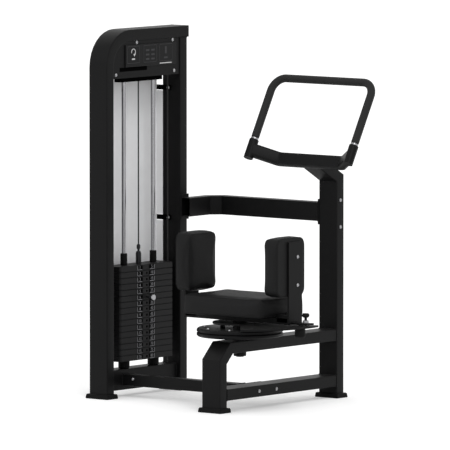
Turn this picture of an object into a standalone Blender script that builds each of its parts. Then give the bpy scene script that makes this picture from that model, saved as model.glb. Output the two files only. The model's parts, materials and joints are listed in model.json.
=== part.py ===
"""Kneeling torso rotation machine.

A weight stack tower stands beside a kneeling seat that turns on a disc. A fixed handle stands
in front of the user. X runs along the tower's width and the seat frame, Y from the seat to the
tower, and Z up. Sizes are in metres.
"""
import math

import bmesh
import bpy
from mathutils import Matrix, Vector

# Clearances
GAP = 0.0003
RUNNING_GAP = 0.0003

# Frame tubes
TUBE_SIDE = 0.050
TUBE_DEEP = 0.100
TUBE_WALL = 0.003
TUBE_CORNER = 0.005
TUBE_CORNER_STEPS = 2

# Feet under the uprights
FOOT_HEIGHT = 0.020
FOOT_MARGIN = 0.0135
FOOT_TOP_MARGIN = 0.0105

# Tower
TOWER_HEIGHT = 1.600
COLUMN_PITCH = 0.501
ARCH_RADIUS = 0.135
ARCH_OVERHANG = 0.008
ARCH_STEPS = 8
END_CAP_THICKNESS = 0.004
TOWER_RAIL_HEIGHT = 0.090
TOWER_RAIL_DEPTH = 0.080
TOWER_RAIL_TOP = 0.120
PANEL_DROP = 0.210
PANEL_THICKNESS = 0.003
PLACARD_DROP = 0.163
PLACARD_HEIGHT = 0.096
PLACARD_WIDTH = 0.345
PLACARD_RIGHT_INSET = 0.026
PLACARD_THICKNESS = 0.005
PLACARD_EDGE = 0.0015
GUARD_LOW = 0.220
GUARD_DROP = 0.215
GUARD_THICKNESS = 0.003
GUARD_SETBACK = 0.030
LOWER_BRACKET_HEIGHT = 0.758
UPPER_BRACKET_DROP = 0.272
GUARD_BRACKET_HEIGHT = 0.022
GUARD_BRACKET_THICKNESS = 0.006
GUARD_BRACKET_REACH = 0.050

# Weight stack
PLATE_WIDTH = 0.361
PLATE_DEPTH = 0.095
PLATE_THICKNESS = 0.0257
PLATE_EDGE = 0.0022
PLATE_CORNER = 0.006
LIFTED_PLATES = 5
RESTING_PLATES = 10
STACK_LOW = 0.155
ROD_DIAMETER = 0.019
ROD_SPACING = 0.200
ROD_HEAD_DROP = 0.212
ROD_HEAD_HEIGHT = 0.010
ROD_HEAD_DEPTH = 0.050
BUMPER_DIAMETER = 0.050
SLEEVE_DIAMETER = 0.030
SLEEVE_HEIGHT = 0.052
SELECTOR_ROD_DIAMETER = 0.020
PIN_DIAMETER = 0.009
PIN_KNOB_DIAMETER = 0.030
PIN_KNOB_LENGTH = 0.022
PIN_KNOB_FACE = 0.8
PIN_REACH = 0.040
PIN_TRAVEL = 0.070

# Cable and its sheaves
CABLE_DIAMETER = 0.006
CABLE_SIDES_RESOLUTION = 2
SHEAVE_DIAMETER = 0.096
SHEAVE_WIDTH = 0.018
SHEAVE_GROOVE = 0.0048
SHEAVE_AXLE_DIAMETER = 0.012
SHEAVE_AXLE_LENGTH = 0.050
CUTTER_MARGIN = 0.015
CHEEK_THICKNESS = 0.005
CABLE_INSET = 0.0017
CABLE_HOLE_DIAMETER = 0.014
CABLE_FITTING_HEIGHT = 0.030
CABLE_FITTING_DIAMETER = 0.016
SELECTOR_STEM_HEIGHT = 0.056
SELECTOR_STEM_DIAMETER = 0.020

# Seat frame
SEAT_LINE_Y = -0.685
FRONT_POST_X = -0.104
HANDLE_POST_X = 0.702
SEAT_BEAM_TOP = 0.300
SEAT_BEAM_HEIGHT = 0.050
SEAT_BEND = 0.057
LOW_RAIL_TOP = 0.100
LINK_X = 0.155
LINK_FLANGE_X = 0.199
LINK_FLANGE_WIDTH = 0.160
FLANGE_THICKNESS = 0.006

# Beam from the tower to the handle post
UPPER_BEAM_LOW = 0.766
UPPER_BEAM_HEIGHT = 0.083
UPPER_BEAM_WIDTH = 0.050
UPPER_BEAM_X = 0.702
UPPER_BEAM_BEND = 0.049
FLANGE_RISE = 0.014

# Handle
HANDLE_TILT = math.radians(29)
HANDLE_BAR_X = 0.560
HANDLE_BAR_Z = 1.037
HANDLE_BAR_HEIGHT = 0.060
HANDLE_BAR_DEPTH = 0.040
HANDLE_HALF_WIDTH = 0.275
HANDLE_FLAT_HALF = 0.175
HANDLE_SWEEP = 0.085
HANDLE_BEND_RADIUS = 0.034
SOCKET_DIAMETER = 0.042
SOCKET_LOW = -0.040
SOCKET_HIGH = 0.047
SOCKET_DEPTH = 0.070
HOOP_DIAMETER = 0.022
HOOP_TOP = 0.348
HOOP_CORNER = 0.062
RING_HEIGHT = 0.010
RING_DIAMETER = 0.035
GRIP_DIAMETER = 0.032

# Turntable
AXIS_X = 0.069
DISC_RADIUS = 0.186
DISC_LOW = 0.316
DISC_THICKNESS = 0.036
DISC_GROOVE = 0.008
SPINDLE_DIAMETER = 0.035
SPINDLE_TOP = 0.405
SPINDLE_LOW = 0.226
NUT_DIAMETER = 0.055
NUT_HEIGHT = 0.020
BUSH_DIAMETER = 0.058
INDEX_LOW = 0.370
INDEX_THICKNESS = 0.008
INDEX_HUB_RADIUS = 0.118
INDEX_RADIUS = 0.375
INDEX_END_ANGLE = math.radians(9)
INDEX_PITCH = math.radians(15)
INDEX_HOLES = 4
INDEX_HOLE_RADIUS = 0.345
SPACER_DIAMETER = 0.022
SPACER_CIRCLE = 0.095
SPACER_COUNT = 3
INDEX_BUMPER_DIAMETER = 0.046
INDEX_BUMPER_HEIGHT = 0.036

# Seat
SEAT_LENGTH = 0.440
SEAT_WIDTH = 0.305
SEAT_OFFSET_X = 0.0235
SEAT_CUSHION_LOW = 0.420
SEAT_CUSHION_HEIGHT = 0.072
SEAT_BOARD_INSET = 0.012
YOKE_WIDTH = 0.050
YOKE_LOW = 0.382
YOKE_HEIGHT = 0.026
PAD_GAP = 0.420
PAD_THICKNESS = 0.058
PAD_BOARD_THICKNESS = 0.012
PAD_WIDTH = 0.200
PAD_LOW = 0.497
PAD_HEIGHT = 0.259
BRACKET_THICKNESS = 0.008
BRACKET_WIDTH = 0.090
BRACKET_OFFSET_X = 0.020
BRACKET_TOP = 0.735
PIN_ARM_WIDTH = 0.045
PIN_ARM_THICKNESS = 0.008
PULL_PIN_DIAMETER = 0.012
PULL_PIN_TRAVEL = 0.012
PULL_PIN_PARK = 0.002
HOUSING_DIAMETER = 0.026
HOUSING_HEIGHT = 0.012
KNOB_DIAMETER = 0.032
KNOB_HEIGHT = 0.018

# Places worked out from the sizes
COLUMN_LEFT_X = TUBE_SIDE / 2
COLUMN_RIGHT_X = COLUMN_LEFT_X + COLUMN_PITCH
COLUMN_Y = TUBE_DEEP / 2
TOWER_X = (COLUMN_LEFT_X + COLUMN_RIGHT_X) / 2
TUBE_FLOOR = FOOT_HEIGHT + GAP
ARCH_TOP_Z = TOWER_HEIGHT - TUBE_SIDE / 2
PANEL_LOW = TOWER_HEIGHT - PANEL_DROP
PLACARD_LOW = TOWER_HEIGHT - PLACARD_DROP
GUARD_HIGH = TOWER_HEIGHT - GUARD_DROP
BRACKET_HEIGHTS = (LOWER_BRACKET_HEIGHT, TOWER_HEIGHT - UPPER_BRACKET_DROP)
ROD_HEAD_LOW = TOWER_HEIGHT - ROD_HEAD_DROP
BAY_LOW = COLUMN_LEFT_X + TUBE_SIDE / 2 + GAP
BAY_HIGH = COLUMN_RIGHT_X - TUBE_SIDE / 2 - GAP
TOWER_RAIL_Y = TUBE_DEEP - TOWER_RAIL_DEPTH / 2
PLATE_PITCH = PLATE_THICKNESS + GAP
HEAD_PLATE_LOW = STACK_LOW + (RESTING_PLATES + LIFTED_PLATES) * PLATE_PITCH
STACK_TOP = HEAD_PLATE_LOW + PLATE_THICKNESS
BORE_GAP = 0.0015
SHEAVE_Z = ROD_HEAD_LOW + ROD_HEAD_HEIGHT + SHEAVE_DIAMETER / 2 + 0.004
CABLE_PITCH_RADIUS = SHEAVE_DIAMETER / 2 - SHEAVE_GROOVE + CABLE_DIAMETER / 2 + 2 * GAP
CABLE_GAP_MIDDLE = (TOWER_X + PLATE_WIDTH / 2 + COLUMN_RIGHT_X - TUBE_SIDE / 2) / 2
CABLE_DOWN_X = CABLE_GAP_MIDDLE - CABLE_INSET
SIDE_SHEAVE_X = CABLE_DOWN_X - CABLE_PITCH_RADIUS
CENTRE_SHEAVE_X = TOWER_X + CABLE_PITCH_RADIUS
FITTING_TOP = STACK_TOP + SELECTOR_STEM_HEIGHT + CABLE_FITTING_HEIGHT
RIGHT_POST_BACK = SEAT_LINE_Y + TUBE_DEEP / 2
DISC_TOP = DISC_LOW + DISC_THICKNESS
INDEX_TOP = INDEX_LOW + INDEX_THICKNESS
YOKE_TOP = YOKE_LOW + YOKE_HEIGHT
PAD_OUTER = PAD_GAP / 2 + PAD_THICKNESS + GAP + PAD_BOARD_THICKNESS
BRACKET_INNER = PAD_OUTER + GAP
BRACKET_OUTER = BRACKET_INNER + BRACKET_THICKNESS
PIN_ARM_LOW = YOKE_LOW
PIN_ARM_TOP = PIN_ARM_LOW + PIN_ARM_THICKNESS
AXIS = Vector((AXIS_X, SEAT_LINE_Y, 0))
PULL_PIN_ANGLE = math.asin(BRACKET_OFFSET_X / INDEX_HOLE_RADIUS)
INDEX_SPREAD = (INDEX_HOLES - 1) * INDEX_PITCH
INDEX_FAR_ANGLE = PULL_PIN_ANGLE - INDEX_SPREAD - INDEX_END_ANGLE
LOW_X = min(FRONT_POST_X - TUBE_SIDE / 2 - FOOT_MARGIN,
            AXIS_X + INDEX_RADIUS * math.sin(INDEX_FAR_ANGLE))
HIGH_X = HANDLE_POST_X + TUBE_SIDE / 2 + FOOT_MARGIN
LOW_Y = SEAT_LINE_Y - INDEX_RADIUS
GUARD_BACK = TUBE_DEEP + GUARD_SETBACK
HIGH_Y = GUARD_BACK

# Colours, roughness and metallic values
FINISHES = {
    "frame_black": ((0.022, 0.022, 0.023), 0.45, 0.0),
    "foot_rubber": ((0.012, 0.012, 0.012), 0.80, 0.0),
    "chrome": ((0.72, 0.72, 0.74), 0.18, 1.0),
    "stack_black": ((0.030, 0.030, 0.031), 0.50, 0.0),
    "vinyl_black": ((0.020, 0.020, 0.021), 0.60, 0.0),
    "foam_black": ((0.018, 0.018, 0.018), 0.85, 0.0),
    "shroud_grey": ((0.50, 0.50, 0.51), 0.35, 0.0),
    "placard_black": ((0.015, 0.015, 0.016), 0.30, 0.0),
    "cable_black": ((0.020, 0.020, 0.020), 0.55, 0.0),
    "sheave_black": ((0.025, 0.025, 0.025), 0.50, 0.0),
    "board_black": ((0.016, 0.016, 0.016), 0.75, 0.0),
    "machined_steel": ((0.55, 0.55, 0.56), 0.30, 1.0),
}

SMOOTH_ANGLE = math.radians(35)
XZ_PLANE = Matrix(((1, 0, 0), (0, 0, -1), (0, 1, 0))).to_4x4()


def clear_scene():
    """Remove every object of the scene."""
    for item in list(bpy.data.objects):
        bpy.data.objects.remove(item, do_unlink=True)


def new_collection(name):
    """A collection linked to the scene."""
    collection = bpy.data.collections.new(name)
    bpy.context.scene.collection.children.link(collection)
    return collection


clear_scene()
PARTS = new_collection("kneeling_torso_rotation_machine")
GUIDES = new_collection("cutters_and_profiles")
CENTRE = bpy.data.objects.new("machine_centre", None)
PARTS.objects.link(CENTRE)
CENTRE.location = (-(LOW_X + HIGH_X) / 2, -(LOW_Y + HIGH_Y) / 2, 0)


def finish(part, finish_name):
    """Give the part its own material."""
    colour, roughness, metallic = FINISHES[finish_name]
    material = bpy.data.materials.new(part.name + "_" + finish_name)
    material.use_nodes = True
    shader = material.node_tree.nodes["Principled BSDF"]
    shader.inputs["Base Color"].default_value = (*colour, 1)
    shader.inputs["Roughness"].default_value = roughness
    shader.inputs["Metallic"].default_value = metallic
    part.data.materials.clear()
    part.data.materials.append(material)


def axis_empty(name, place):
    """An empty on a joint's axis that carries the pieces that move with it."""
    empty = bpy.data.objects.new(name, None)
    PARTS.objects.link(empty)
    empty.parent = CENTRE
    empty.location = place
    return empty


def add_part(name, mesh, place, finish_name, parent=None):
    """Link a mesh as a named part at a place in the machine's frame."""
    mesh.name = name
    part = bpy.data.objects.new(name, mesh)
    PARTS.objects.link(part)
    part.parent = parent or CENTRE
    part.location = Vector(place) - (Vector(parent.location) if parent else Vector())
    finish(part, finish_name)
    return part


def add_guide(name, data):
    """Link a cutter or a profile that isn't part of the machine."""
    guide = bpy.data.objects.new(name, data)
    GUIDES.objects.link(guide)
    guide.hide_render = True
    guide.display_type = "WIRE"
    return guide


def box_mesh(size):
    """A box centred on its origin."""
    builder = bmesh.new()
    bmesh.ops.create_cube(builder, size=1)
    bmesh.ops.scale(builder, vec=size, verts=builder.verts)
    mesh = bpy.data.meshes.new("box")
    builder.to_mesh(mesh)
    builder.free()
    return mesh


def round_mesh(radius, height, sides=24, axis="Z", top_radius=None):
    """A cylinder or cone centred on its origin, along X, Y or Z."""
    builder = bmesh.new()
    bmesh.ops.create_cone(builder, cap_ends=True, segments=sides, radius1=radius,
                          radius2=radius if top_radius is None else top_radius, depth=height)
    if axis == "X":
        bmesh.ops.rotate(builder, matrix=Matrix.Rotation(math.pi / 2, 3, "Y"), verts=builder.verts)
    if axis == "Y":
        bmesh.ops.rotate(builder, matrix=Matrix.Rotation(math.pi / 2, 3, "X"), verts=builder.verts)
    mesh = bpy.data.meshes.new("round")
    builder.to_mesh(mesh)
    builder.free()
    return mesh


def span_box(name, low, high, finish_name, parent=None, bevel=0.0, segments=1):
    """A box between two corners, with its edges bevelled."""
    low, high = Vector(low), Vector(high)
    part = add_part(name, box_mesh(high - low), (low + high) / 2, finish_name, parent)
    if bevel:
        bevel_edges(part, bevel, segments)
    return part


def bevel_edges(part, width, segments):
    """Round the part's sharp edges."""
    modifier = part.modifiers.new("edges", "BEVEL")
    modifier.width = width
    modifier.segments = segments
    modifier.limit_method = "ANGLE"
    modifier.harden_normals = False


def smooth(mesh):
    """Shade a round mesh smooth, with its sharp edges kept."""
    mesh.shade_smooth()
    mesh.set_sharp_from_angle(angle=SMOOTH_ANGLE)


def cut(part, cutter, operation="DIFFERENCE"):
    """Cut the part with a guide, or join the guide to it."""
    modifier = part.modifiers.new(operation.lower(), "BOOLEAN")
    modifier.object = cutter
    modifier.operation = operation
    modifier.solver = "EXACT"


def world_guide(name, mesh, place):
    """A cutter at a place in the machine's frame."""
    guide = add_guide(name, mesh)
    guide.parent = CENTRE
    guide.location = place
    return guide


def turned_part(name, profile, place, finish_name, parent=None, sides=32, axis="Z"):
    """A turned solid from a profile of (radius, height) points, top to bottom on its outer side."""
    mesh = bpy.data.meshes.new(name)
    points = [(radius, 0, height) for radius, height in profile]
    edges = [(i, i + 1) for i in range(len(points) - 1)]
    if profile[0][0] > 0:
        edges.append((len(points) - 1, 0))
    mesh.from_pydata(points, edges, [])
    part = add_part(name, mesh, place, finish_name, parent)
    screw = part.modifiers.new("turn", "SCREW")
    screw.steps = sides
    screw.render_steps = sides
    screw.use_merge_vertices = True
    screw.merge_threshold = 0.00005
    screw.use_normal_calculate = False
    if axis == "Y":
        part.rotation_euler = (math.pi / 2, 0, 0)
    return part


def ring_part(name, outer, inner, low, high, centre, finish_name, parent=None, sides=32, chamfer=0.001):
    """A turned ring between two heights."""
    middle = (low + high) / 2
    profile = [(inner, high - middle), (outer - chamfer, high - middle),
               (outer, high - middle - chamfer), (outer, low - middle + chamfer),
               (outer - chamfer, low - middle), (inner, low - middle)]
    return turned_part(name, profile, (centre[0], centre[1], middle), finish_name, parent, sides)


def rod_part(name, radius, low, high, centre, finish_name, parent=None, sides=20, chamfer=0.001):
    """A turned upright rod between two heights."""
    middle = (low + high) / 2
    profile = [(0, high - middle), (radius - chamfer, high - middle),
               (radius, high - middle - chamfer), (radius, low - middle + chamfer),
               (radius - chamfer, low - middle), (0, low - middle)]
    return turned_part(name, profile, (centre[0], centre[1], middle), finish_name, parent, sides)


def arc_points(centre, radius, start, end, steps):
    """Points along an arc in a plane."""
    return [(centre[0] + radius * math.cos(start + (end - start) * i / steps),
             centre[1] + radius * math.sin(start + (end - start) * i / steps))
            for i in range(steps + 1)]


def rounded_path(corners, radii, steps):
    """A plane path through corners, each rounded by an arc of its radius."""
    points = [Vector(corners[0])]
    for index in range(1, len(corners) - 1):
        before, corner, after = (Vector(corners[index + k]) for k in (-1, 0, 1))
        into, out = (before - corner).normalized(), (after - corner).normalized()
        half = into.angle(out) / 2
        radius = radii[index - 1]
        reach = radius / math.tan(half)
        centre = corner + (into + out).normalized() * (radius / math.sin(half))
        first = corner + into * reach - centre
        last = corner + out * reach - centre
        turn = first.angle_signed(last)
        for step in range(steps + 1):
            points.append(centre + Matrix.Rotation(-turn * step / steps, 2) @ first)
    points.append(Vector(corners[-1]))
    return points


def poly_curve(name, points, cyclic=False, dimensions="2D"):
    """Curve data of one straight-sided spline."""
    curve = bpy.data.curves.new(name, "CURVE")
    curve.dimensions = dimensions
    spline = curve.splines.new("POLY")
    spline.points.add(len(points) - 1)
    for target, point in zip(spline.points, points):
        target.co = (*point, 1) if len(point) == 3 else (*point, 0, 1)
    spline.use_cyclic_u = cyclic
    return curve


def rounded_rectangle(width, height, corner, steps):
    """Outline points of a rectangle with round corners, anticlockwise."""
    points = []
    for quarter, (sx, sy) in enumerate(((1, 1), (-1, 1), (-1, -1), (1, -1))):
        centre = (sx * (width / 2 - corner), sy * (height / 2 - corner))
        start = quarter * math.pi / 2
        points += arc_points(centre, corner, start, start + math.pi / 2, steps)
    return points


def evaluated_mesh(source):
    """A plain mesh of an object as it is evaluated."""
    bpy.context.view_layer.update()
    graph = bpy.context.evaluated_depsgraph_get()
    return bpy.data.meshes.new_from_object(source.evaluated_get(graph))


def weld(mesh):
    """Weld a curve's mesh and point its faces outwards."""
    builder = bmesh.new()
    builder.from_mesh(mesh)
    bmesh.ops.remove_doubles(builder, verts=builder.verts, dist=0.00002)
    bmesh.ops.recalc_face_normals(builder, faces=builder.faces)
    builder.to_mesh(mesh)
    builder.free()
    mesh.materials.clear()


def swept_mesh(name, points, profile, closed_ends):
    """A plane path swept by a profile, mitred at its corners: X lies in the plane, Y across it."""
    points = [Vector(point) for point in points]
    runs = [(after - before).normalized() for before, after in zip(points, points[1:])]
    builder = bmesh.new()
    rings = []
    for index, point in enumerate(points):
        before = runs[max(index - 1, 0)]
        after = runs[min(index, len(runs) - 1)]
        tangent = (before + after).normalized()
        side = Vector((-tangent.y, tangent.x)) / tangent.dot(after)
        rings.append([builder.verts.new((*(point + side * x), y)) for x, y in profile])
    count = len(profile)
    for lower, upper in zip(rings, rings[1:]):
        for i in range(count):
            j = (i + 1) % count
            builder.faces.new((lower[i], lower[j], upper[j], upper[i]))
    if closed_ends:
        builder.faces.new(list(reversed(rings[0])))
        builder.faces.new(rings[-1])
    mesh = bpy.data.meshes.new(name)
    builder.to_mesh(mesh)
    builder.free()
    return mesh


def tube_part(name, points, plane, place, size, finish_name, parent=None, wall=TUBE_WALL,
              corner=TUBE_CORNER, solid=False):
    """A bent box tube: size is its width in the path's plane and across it."""
    profile = rounded_rectangle(size[0], size[1], corner, TUBE_CORNER_STEPS)
    mesh = swept_mesh(name, points, profile, closed_ends=solid)
    mesh.transform(plane)
    part = add_part(name, mesh, place, finish_name, parent)
    if not solid:
        walls = part.modifiers.new("wall", "SOLIDIFY")
        walls.thickness = wall
        walls.offset = -1
        walls.use_even_offset = True
    smooth(mesh)
    return part


def outline_part(name, points, plane, place, thickness, finish_name, parent=None):
    """A flat plate with a closed outline, centred on its plane."""
    curve = poly_curve(name + "_outline", points, cyclic=True)
    curve.fill_mode = "BOTH"
    curve.extrude = thickness / 2
    outline = add_guide(name + "_outline", curve)
    mesh = evaluated_mesh(outline)
    bpy.data.objects.remove(outline, do_unlink=True)
    weld(mesh)
    mesh.transform(plane)
    return add_part(name, mesh, place, finish_name, parent)


def wire_mesh(name, points, diameter, resolution, cyclic=False):
    """A round wire or tube along points in space."""
    curve = poly_curve(name + "_wire", points, cyclic, dimensions="3D")
    curve.bevel_depth = diameter / 2
    curve.bevel_resolution = resolution
    curve.use_fill_caps = not cyclic
    wire = add_guide(name + "_wire", curve)
    mesh = evaluated_mesh(wire)
    bpy.data.objects.remove(wire, do_unlink=True)
    weld(mesh)
    return mesh


def build_foot(name, x, y):
    """A flared rubber foot under an upright."""
    low = (TUBE_SIDE + 2 * FOOT_MARGIN, TUBE_DEEP + 2 * FOOT_MARGIN)
    high = (TUBE_SIDE + 2 * FOOT_TOP_MARGIN, TUBE_DEEP + 2 * FOOT_TOP_MARGIN)
    mesh = box_mesh((low[0], low[1], FOOT_HEIGHT))
    for vertex in mesh.vertices:
        if vertex.co.z > 0:
            vertex.co.x *= high[0] / low[0]
            vertex.co.y *= high[1] / low[1]
    foot = add_part(name, mesh, (x, y, FOOT_HEIGHT / 2), "foot_rubber")
    bevel_edges(foot, 0.003, 1)


def build_columns():
    """The left column with its arched top, and the right column under it."""
    arch = rounded_path([(0, 0), (0, ARCH_TOP_Z - TUBE_FLOOR),
                         (COLUMN_PITCH + TUBE_SIDE / 2 + ARCH_OVERHANG, ARCH_TOP_Z - TUBE_FLOOR)],
                        [ARCH_RADIUS], ARCH_STEPS)
    tube_part("arch_column", arch, XZ_PLANE, (COLUMN_LEFT_X, COLUMN_Y, TUBE_FLOOR),
              (TUBE_SIDE, TUBE_DEEP), "frame_black")
    end_x = COLUMN_RIGHT_X + TUBE_SIDE / 2 + ARCH_OVERHANG + GAP
    span_box("top_tube_cap", (end_x, 0, TOWER_HEIGHT - TUBE_SIDE),
             (end_x + END_CAP_THICKNESS, TUBE_DEEP, TOWER_HEIGHT), "foot_rubber", bevel=0.0015)
    height = ARCH_TOP_Z - TUBE_SIDE / 2 - GAP - TUBE_FLOOR
    tube_part("right_column", [(0, 0), (0, height)], XZ_PLANE,
              (COLUMN_RIGHT_X, COLUMN_Y, TUBE_FLOOR), (TUBE_SIDE, TUBE_DEEP), "frame_black")


def build_tower_base():
    """The rail between the columns, which carries the guide rods and the stack's bumpers."""
    rail = tube_part("tower_base_rail", [(BAY_LOW, 0), (BAY_HIGH, 0)], Matrix(),
                     (0, TOWER_RAIL_Y, TOWER_RAIL_TOP - TOWER_RAIL_HEIGHT / 2),
                     (TOWER_RAIL_DEPTH, TOWER_RAIL_HEIGHT), "frame_black")
    hole = world_guide("rail_cable_hole", round_mesh(CABLE_HOLE_DIAMETER / 2, TUBE_WALL * 4, 16),
                       (CABLE_DOWN_X, COLUMN_Y, TOWER_RAIL_TOP))
    cut(rail, hole)


def build_tower_top():
    """The front panel, the placard and the bar that holds the guide rods."""
    top = TOWER_HEIGHT - TUBE_SIDE - GAP
    inner = ARCH_RADIUS - TUBE_SIDE / 2 - GAP
    corner = arc_points((BAY_LOW + inner, top - inner), inner, math.pi / 2, math.pi, ARCH_STEPS)
    outline = [(BAY_LOW, PANEL_LOW), (BAY_HIGH, PANEL_LOW), (BAY_HIGH, top)] + corner
    outline_part("front_panel", outline, XZ_PLANE, (0, TUBE_CORNER + PANEL_THICKNESS / 2, 0),
                 PANEL_THICKNESS, "frame_black")
    high_x = BAY_HIGH - PLACARD_RIGHT_INSET
    face = TUBE_CORNER - GAP
    span_box("placard", (high_x - PLACARD_WIDTH, face - PLACARD_THICKNESS, PLACARD_LOW),
             (high_x, face, PLACARD_LOW + PLACARD_HEIGHT), "placard_black", bevel=PLACARD_EDGE,
             segments=2)
    build_rod_head()


def build_rod_head():
    """The bar over the guide rods, with the cheeks that carry the sheave axles."""
    bar = span_box("rod_head_bar", (BAY_LOW, COLUMN_Y - ROD_HEAD_DEPTH / 2, ROD_HEAD_LOW),
                   (BAY_HIGH, COLUMN_Y + ROD_HEAD_DEPTH / 2, ROD_HEAD_LOW + ROD_HEAD_HEIGHT),
                   "frame_black")
    cheek_high = SHEAVE_Z + 0.022
    cheek_low = ROD_HEAD_LOW + ROD_HEAD_HEIGHT / 2
    for side in (-1, 1):
        y = COLUMN_Y + side * (SHEAVE_AXLE_LENGTH - CHEEK_THICKNESS) / 2
        cheek = box_mesh((SIDE_SHEAVE_X - CENTRE_SHEAVE_X + 0.060, CHEEK_THICKNESS,
                          cheek_high - cheek_low))
        guide = world_guide(f"cheek_{side}", cheek, ((SIDE_SHEAVE_X + CENTRE_SHEAVE_X) / 2, y,
                                                     (cheek_high + cheek_low) / 2))
        cut(bar, guide, "UNION")
    for x in (CENTRE_SHEAVE_X, SIDE_SHEAVE_X):
        drill = round_mesh(SHEAVE_AXLE_DIAMETER / 2 + RUNNING_GAP,
                           SHEAVE_AXLE_LENGTH + 2 * CUTTER_MARGIN, 20, "Y")
        hole = world_guide(f"axle_hole_{x:.2f}", drill, (x, COLUMN_Y, SHEAVE_Z))
        cut(bar, hole)
    slot_x = TOWER_X
    slot = world_guide("cable_slot", box_mesh((0.030, 0.016, 0.040)),
                       (slot_x, COLUMN_Y, ROD_HEAD_LOW + ROD_HEAD_HEIGHT / 2))
    cut(bar, slot)
    tail = world_guide("tail_slot", box_mesh((0.016, 0.016, 0.040)),
                       (CABLE_DOWN_X, COLUMN_Y, ROD_HEAD_LOW + ROD_HEAD_HEIGHT / 2))
    cut(bar, tail)


def build_shroud():
    """The pale rear guard between four brackets on the columns' inner faces."""
    edge = GUARD_BRACKET_THICKNESS + GAP
    span_box("rear_guard", (BAY_LOW + edge, GUARD_BACK - GUARD_THICKNESS, GUARD_LOW),
             (BAY_HIGH - edge, GUARD_BACK, GUARD_HIGH), "shroud_grey")
    for level, z in zip(("lower", "upper"), BRACKET_HEIGHTS):
        for side, x in (("left", BAY_LOW), ("right", BAY_HIGH - GUARD_BRACKET_THICKNESS)):
            span_box(f"{level}_{side}_guard_bracket",
                     (x, TUBE_DEEP - GUARD_BRACKET_REACH, z - GUARD_BRACKET_HEIGHT / 2),
                     (x + GUARD_BRACKET_THICKNESS, GUARD_BACK, z + GUARD_BRACKET_HEIGHT / 2),
                     "foot_rubber", bevel=0.001)


def plate_mesh(levels):
    """A plate or a pile of plates: rounded outlines at (height, inset) levels."""
    builder = bmesh.new()
    rings = []
    for height, inset in levels:
        outline = rounded_rectangle(PLATE_WIDTH - 2 * inset, PLATE_DEPTH - 2 * inset,
                                    PLATE_CORNER, 1)
        rings.append([builder.verts.new((x, y, height)) for x, y in outline])
    count = len(rings[0])
    for lower, upper in zip(rings, rings[1:]):
        for i in range(count):
            j = (i + 1) % count
            builder.faces.new((lower[i], lower[j], upper[j], upper[i]))
    builder.faces.new(list(reversed(rings[0])))
    builder.faces.new(rings[-1])
    mesh = bpy.data.meshes.new("plate")
    builder.to_mesh(mesh)
    builder.free()
    return mesh


def plate_levels(count):
    """Heights and insets of a pile of plates with a groove at each joint."""
    levels = []
    for index in range(count):
        low = index * PLATE_PITCH
        high = low + (PLATE_THICKNESS if index == count - 1 else PLATE_PITCH)
        levels += [(low, PLATE_EDGE)] if index == 0 else []
        levels += [(low + PLATE_EDGE, 0), (high - PLATE_EDGE, 0), (high, PLATE_EDGE)]
    return levels


def drill_plates(part, low, high, name):
    """Bores for the guide rods and the selector rod."""
    middle = (low + high) / 2
    height = high - low + 0.010
    for side in (-1, 1):
        bore = world_guide(f"{name}_rod_bore_{side}",
                           round_mesh(ROD_DIAMETER / 2 + BORE_GAP, height, 12),
                           (TOWER_X + side * ROD_SPACING / 2, COLUMN_Y, middle))
        cut(part, bore)
    centre = world_guide(f"{name}_selector_bore",
                         round_mesh(SELECTOR_ROD_DIAMETER / 2 + BORE_GAP, height, 12),
                         (TOWER_X, COLUMN_Y, middle))
    cut(part, centre)


def drill_pin_hole(part, z, name):
    """The hole in a plate's front for the selector pin."""
    hole = world_guide(f"{name}_pin_hole", round_mesh(PIN_DIAMETER / 2 + BORE_GAP, COLUMN_Y, 8, "Y"),
                       (TOWER_X, COLUMN_Y - COLUMN_Y / 2 - 0.010, z))
    cut(part, hole)


def build_stack(lift):
    """Resting plates, lifted plates, head plate, selector rod, sleeves and pin."""
    resting_high = STACK_LOW + RESTING_PLATES * PLATE_PITCH - GAP
    resting = add_part("resting_plates", plate_mesh(plate_levels(RESTING_PLATES)),
                       (TOWER_X, COLUMN_Y, STACK_LOW), "stack_black")
    drill_plates(resting, STACK_LOW, resting_high, "resting")
    for index in range(RESTING_PLATES):
        z = STACK_LOW + index * PLATE_PITCH + PLATE_THICKNESS / 2
        drill_pin_hole(resting, z, f"resting_{index}")
    for index in range(LIFTED_PLATES):
        low = STACK_LOW + (RESTING_PLATES + index) * PLATE_PITCH
        name = f"weight_plate_{LIFTED_PLATES - index}"
        plate = add_part(name, plate_mesh(plate_levels(1)), (TOWER_X, COLUMN_Y, low),
                         "stack_black", lift)
        drill_plates(plate, low, low + PLATE_THICKNESS, name)
        drill_pin_hole(plate, low + PLATE_THICKNESS / 2, name)
    head = add_part("head_plate", plate_mesh(plate_levels(1)), (TOWER_X, COLUMN_Y, HEAD_PLATE_LOW),
                    "stack_black", lift)
    drill_plates(head, HEAD_PLATE_LOW, STACK_TOP, "head")
    build_selector_rod(lift)
    for side, name in ((-1, "left_rod_sleeve"), (1, "right_rod_sleeve")):
        ring_part(name, SLEEVE_DIAMETER / 2, ROD_DIAMETER / 2 + BORE_GAP, STACK_TOP + GAP,
                  STACK_TOP + SLEEVE_HEIGHT, (TOWER_X + side * ROD_SPACING / 2, COLUMN_Y),
                  "foot_rubber", lift, 16, 0.002)


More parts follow.
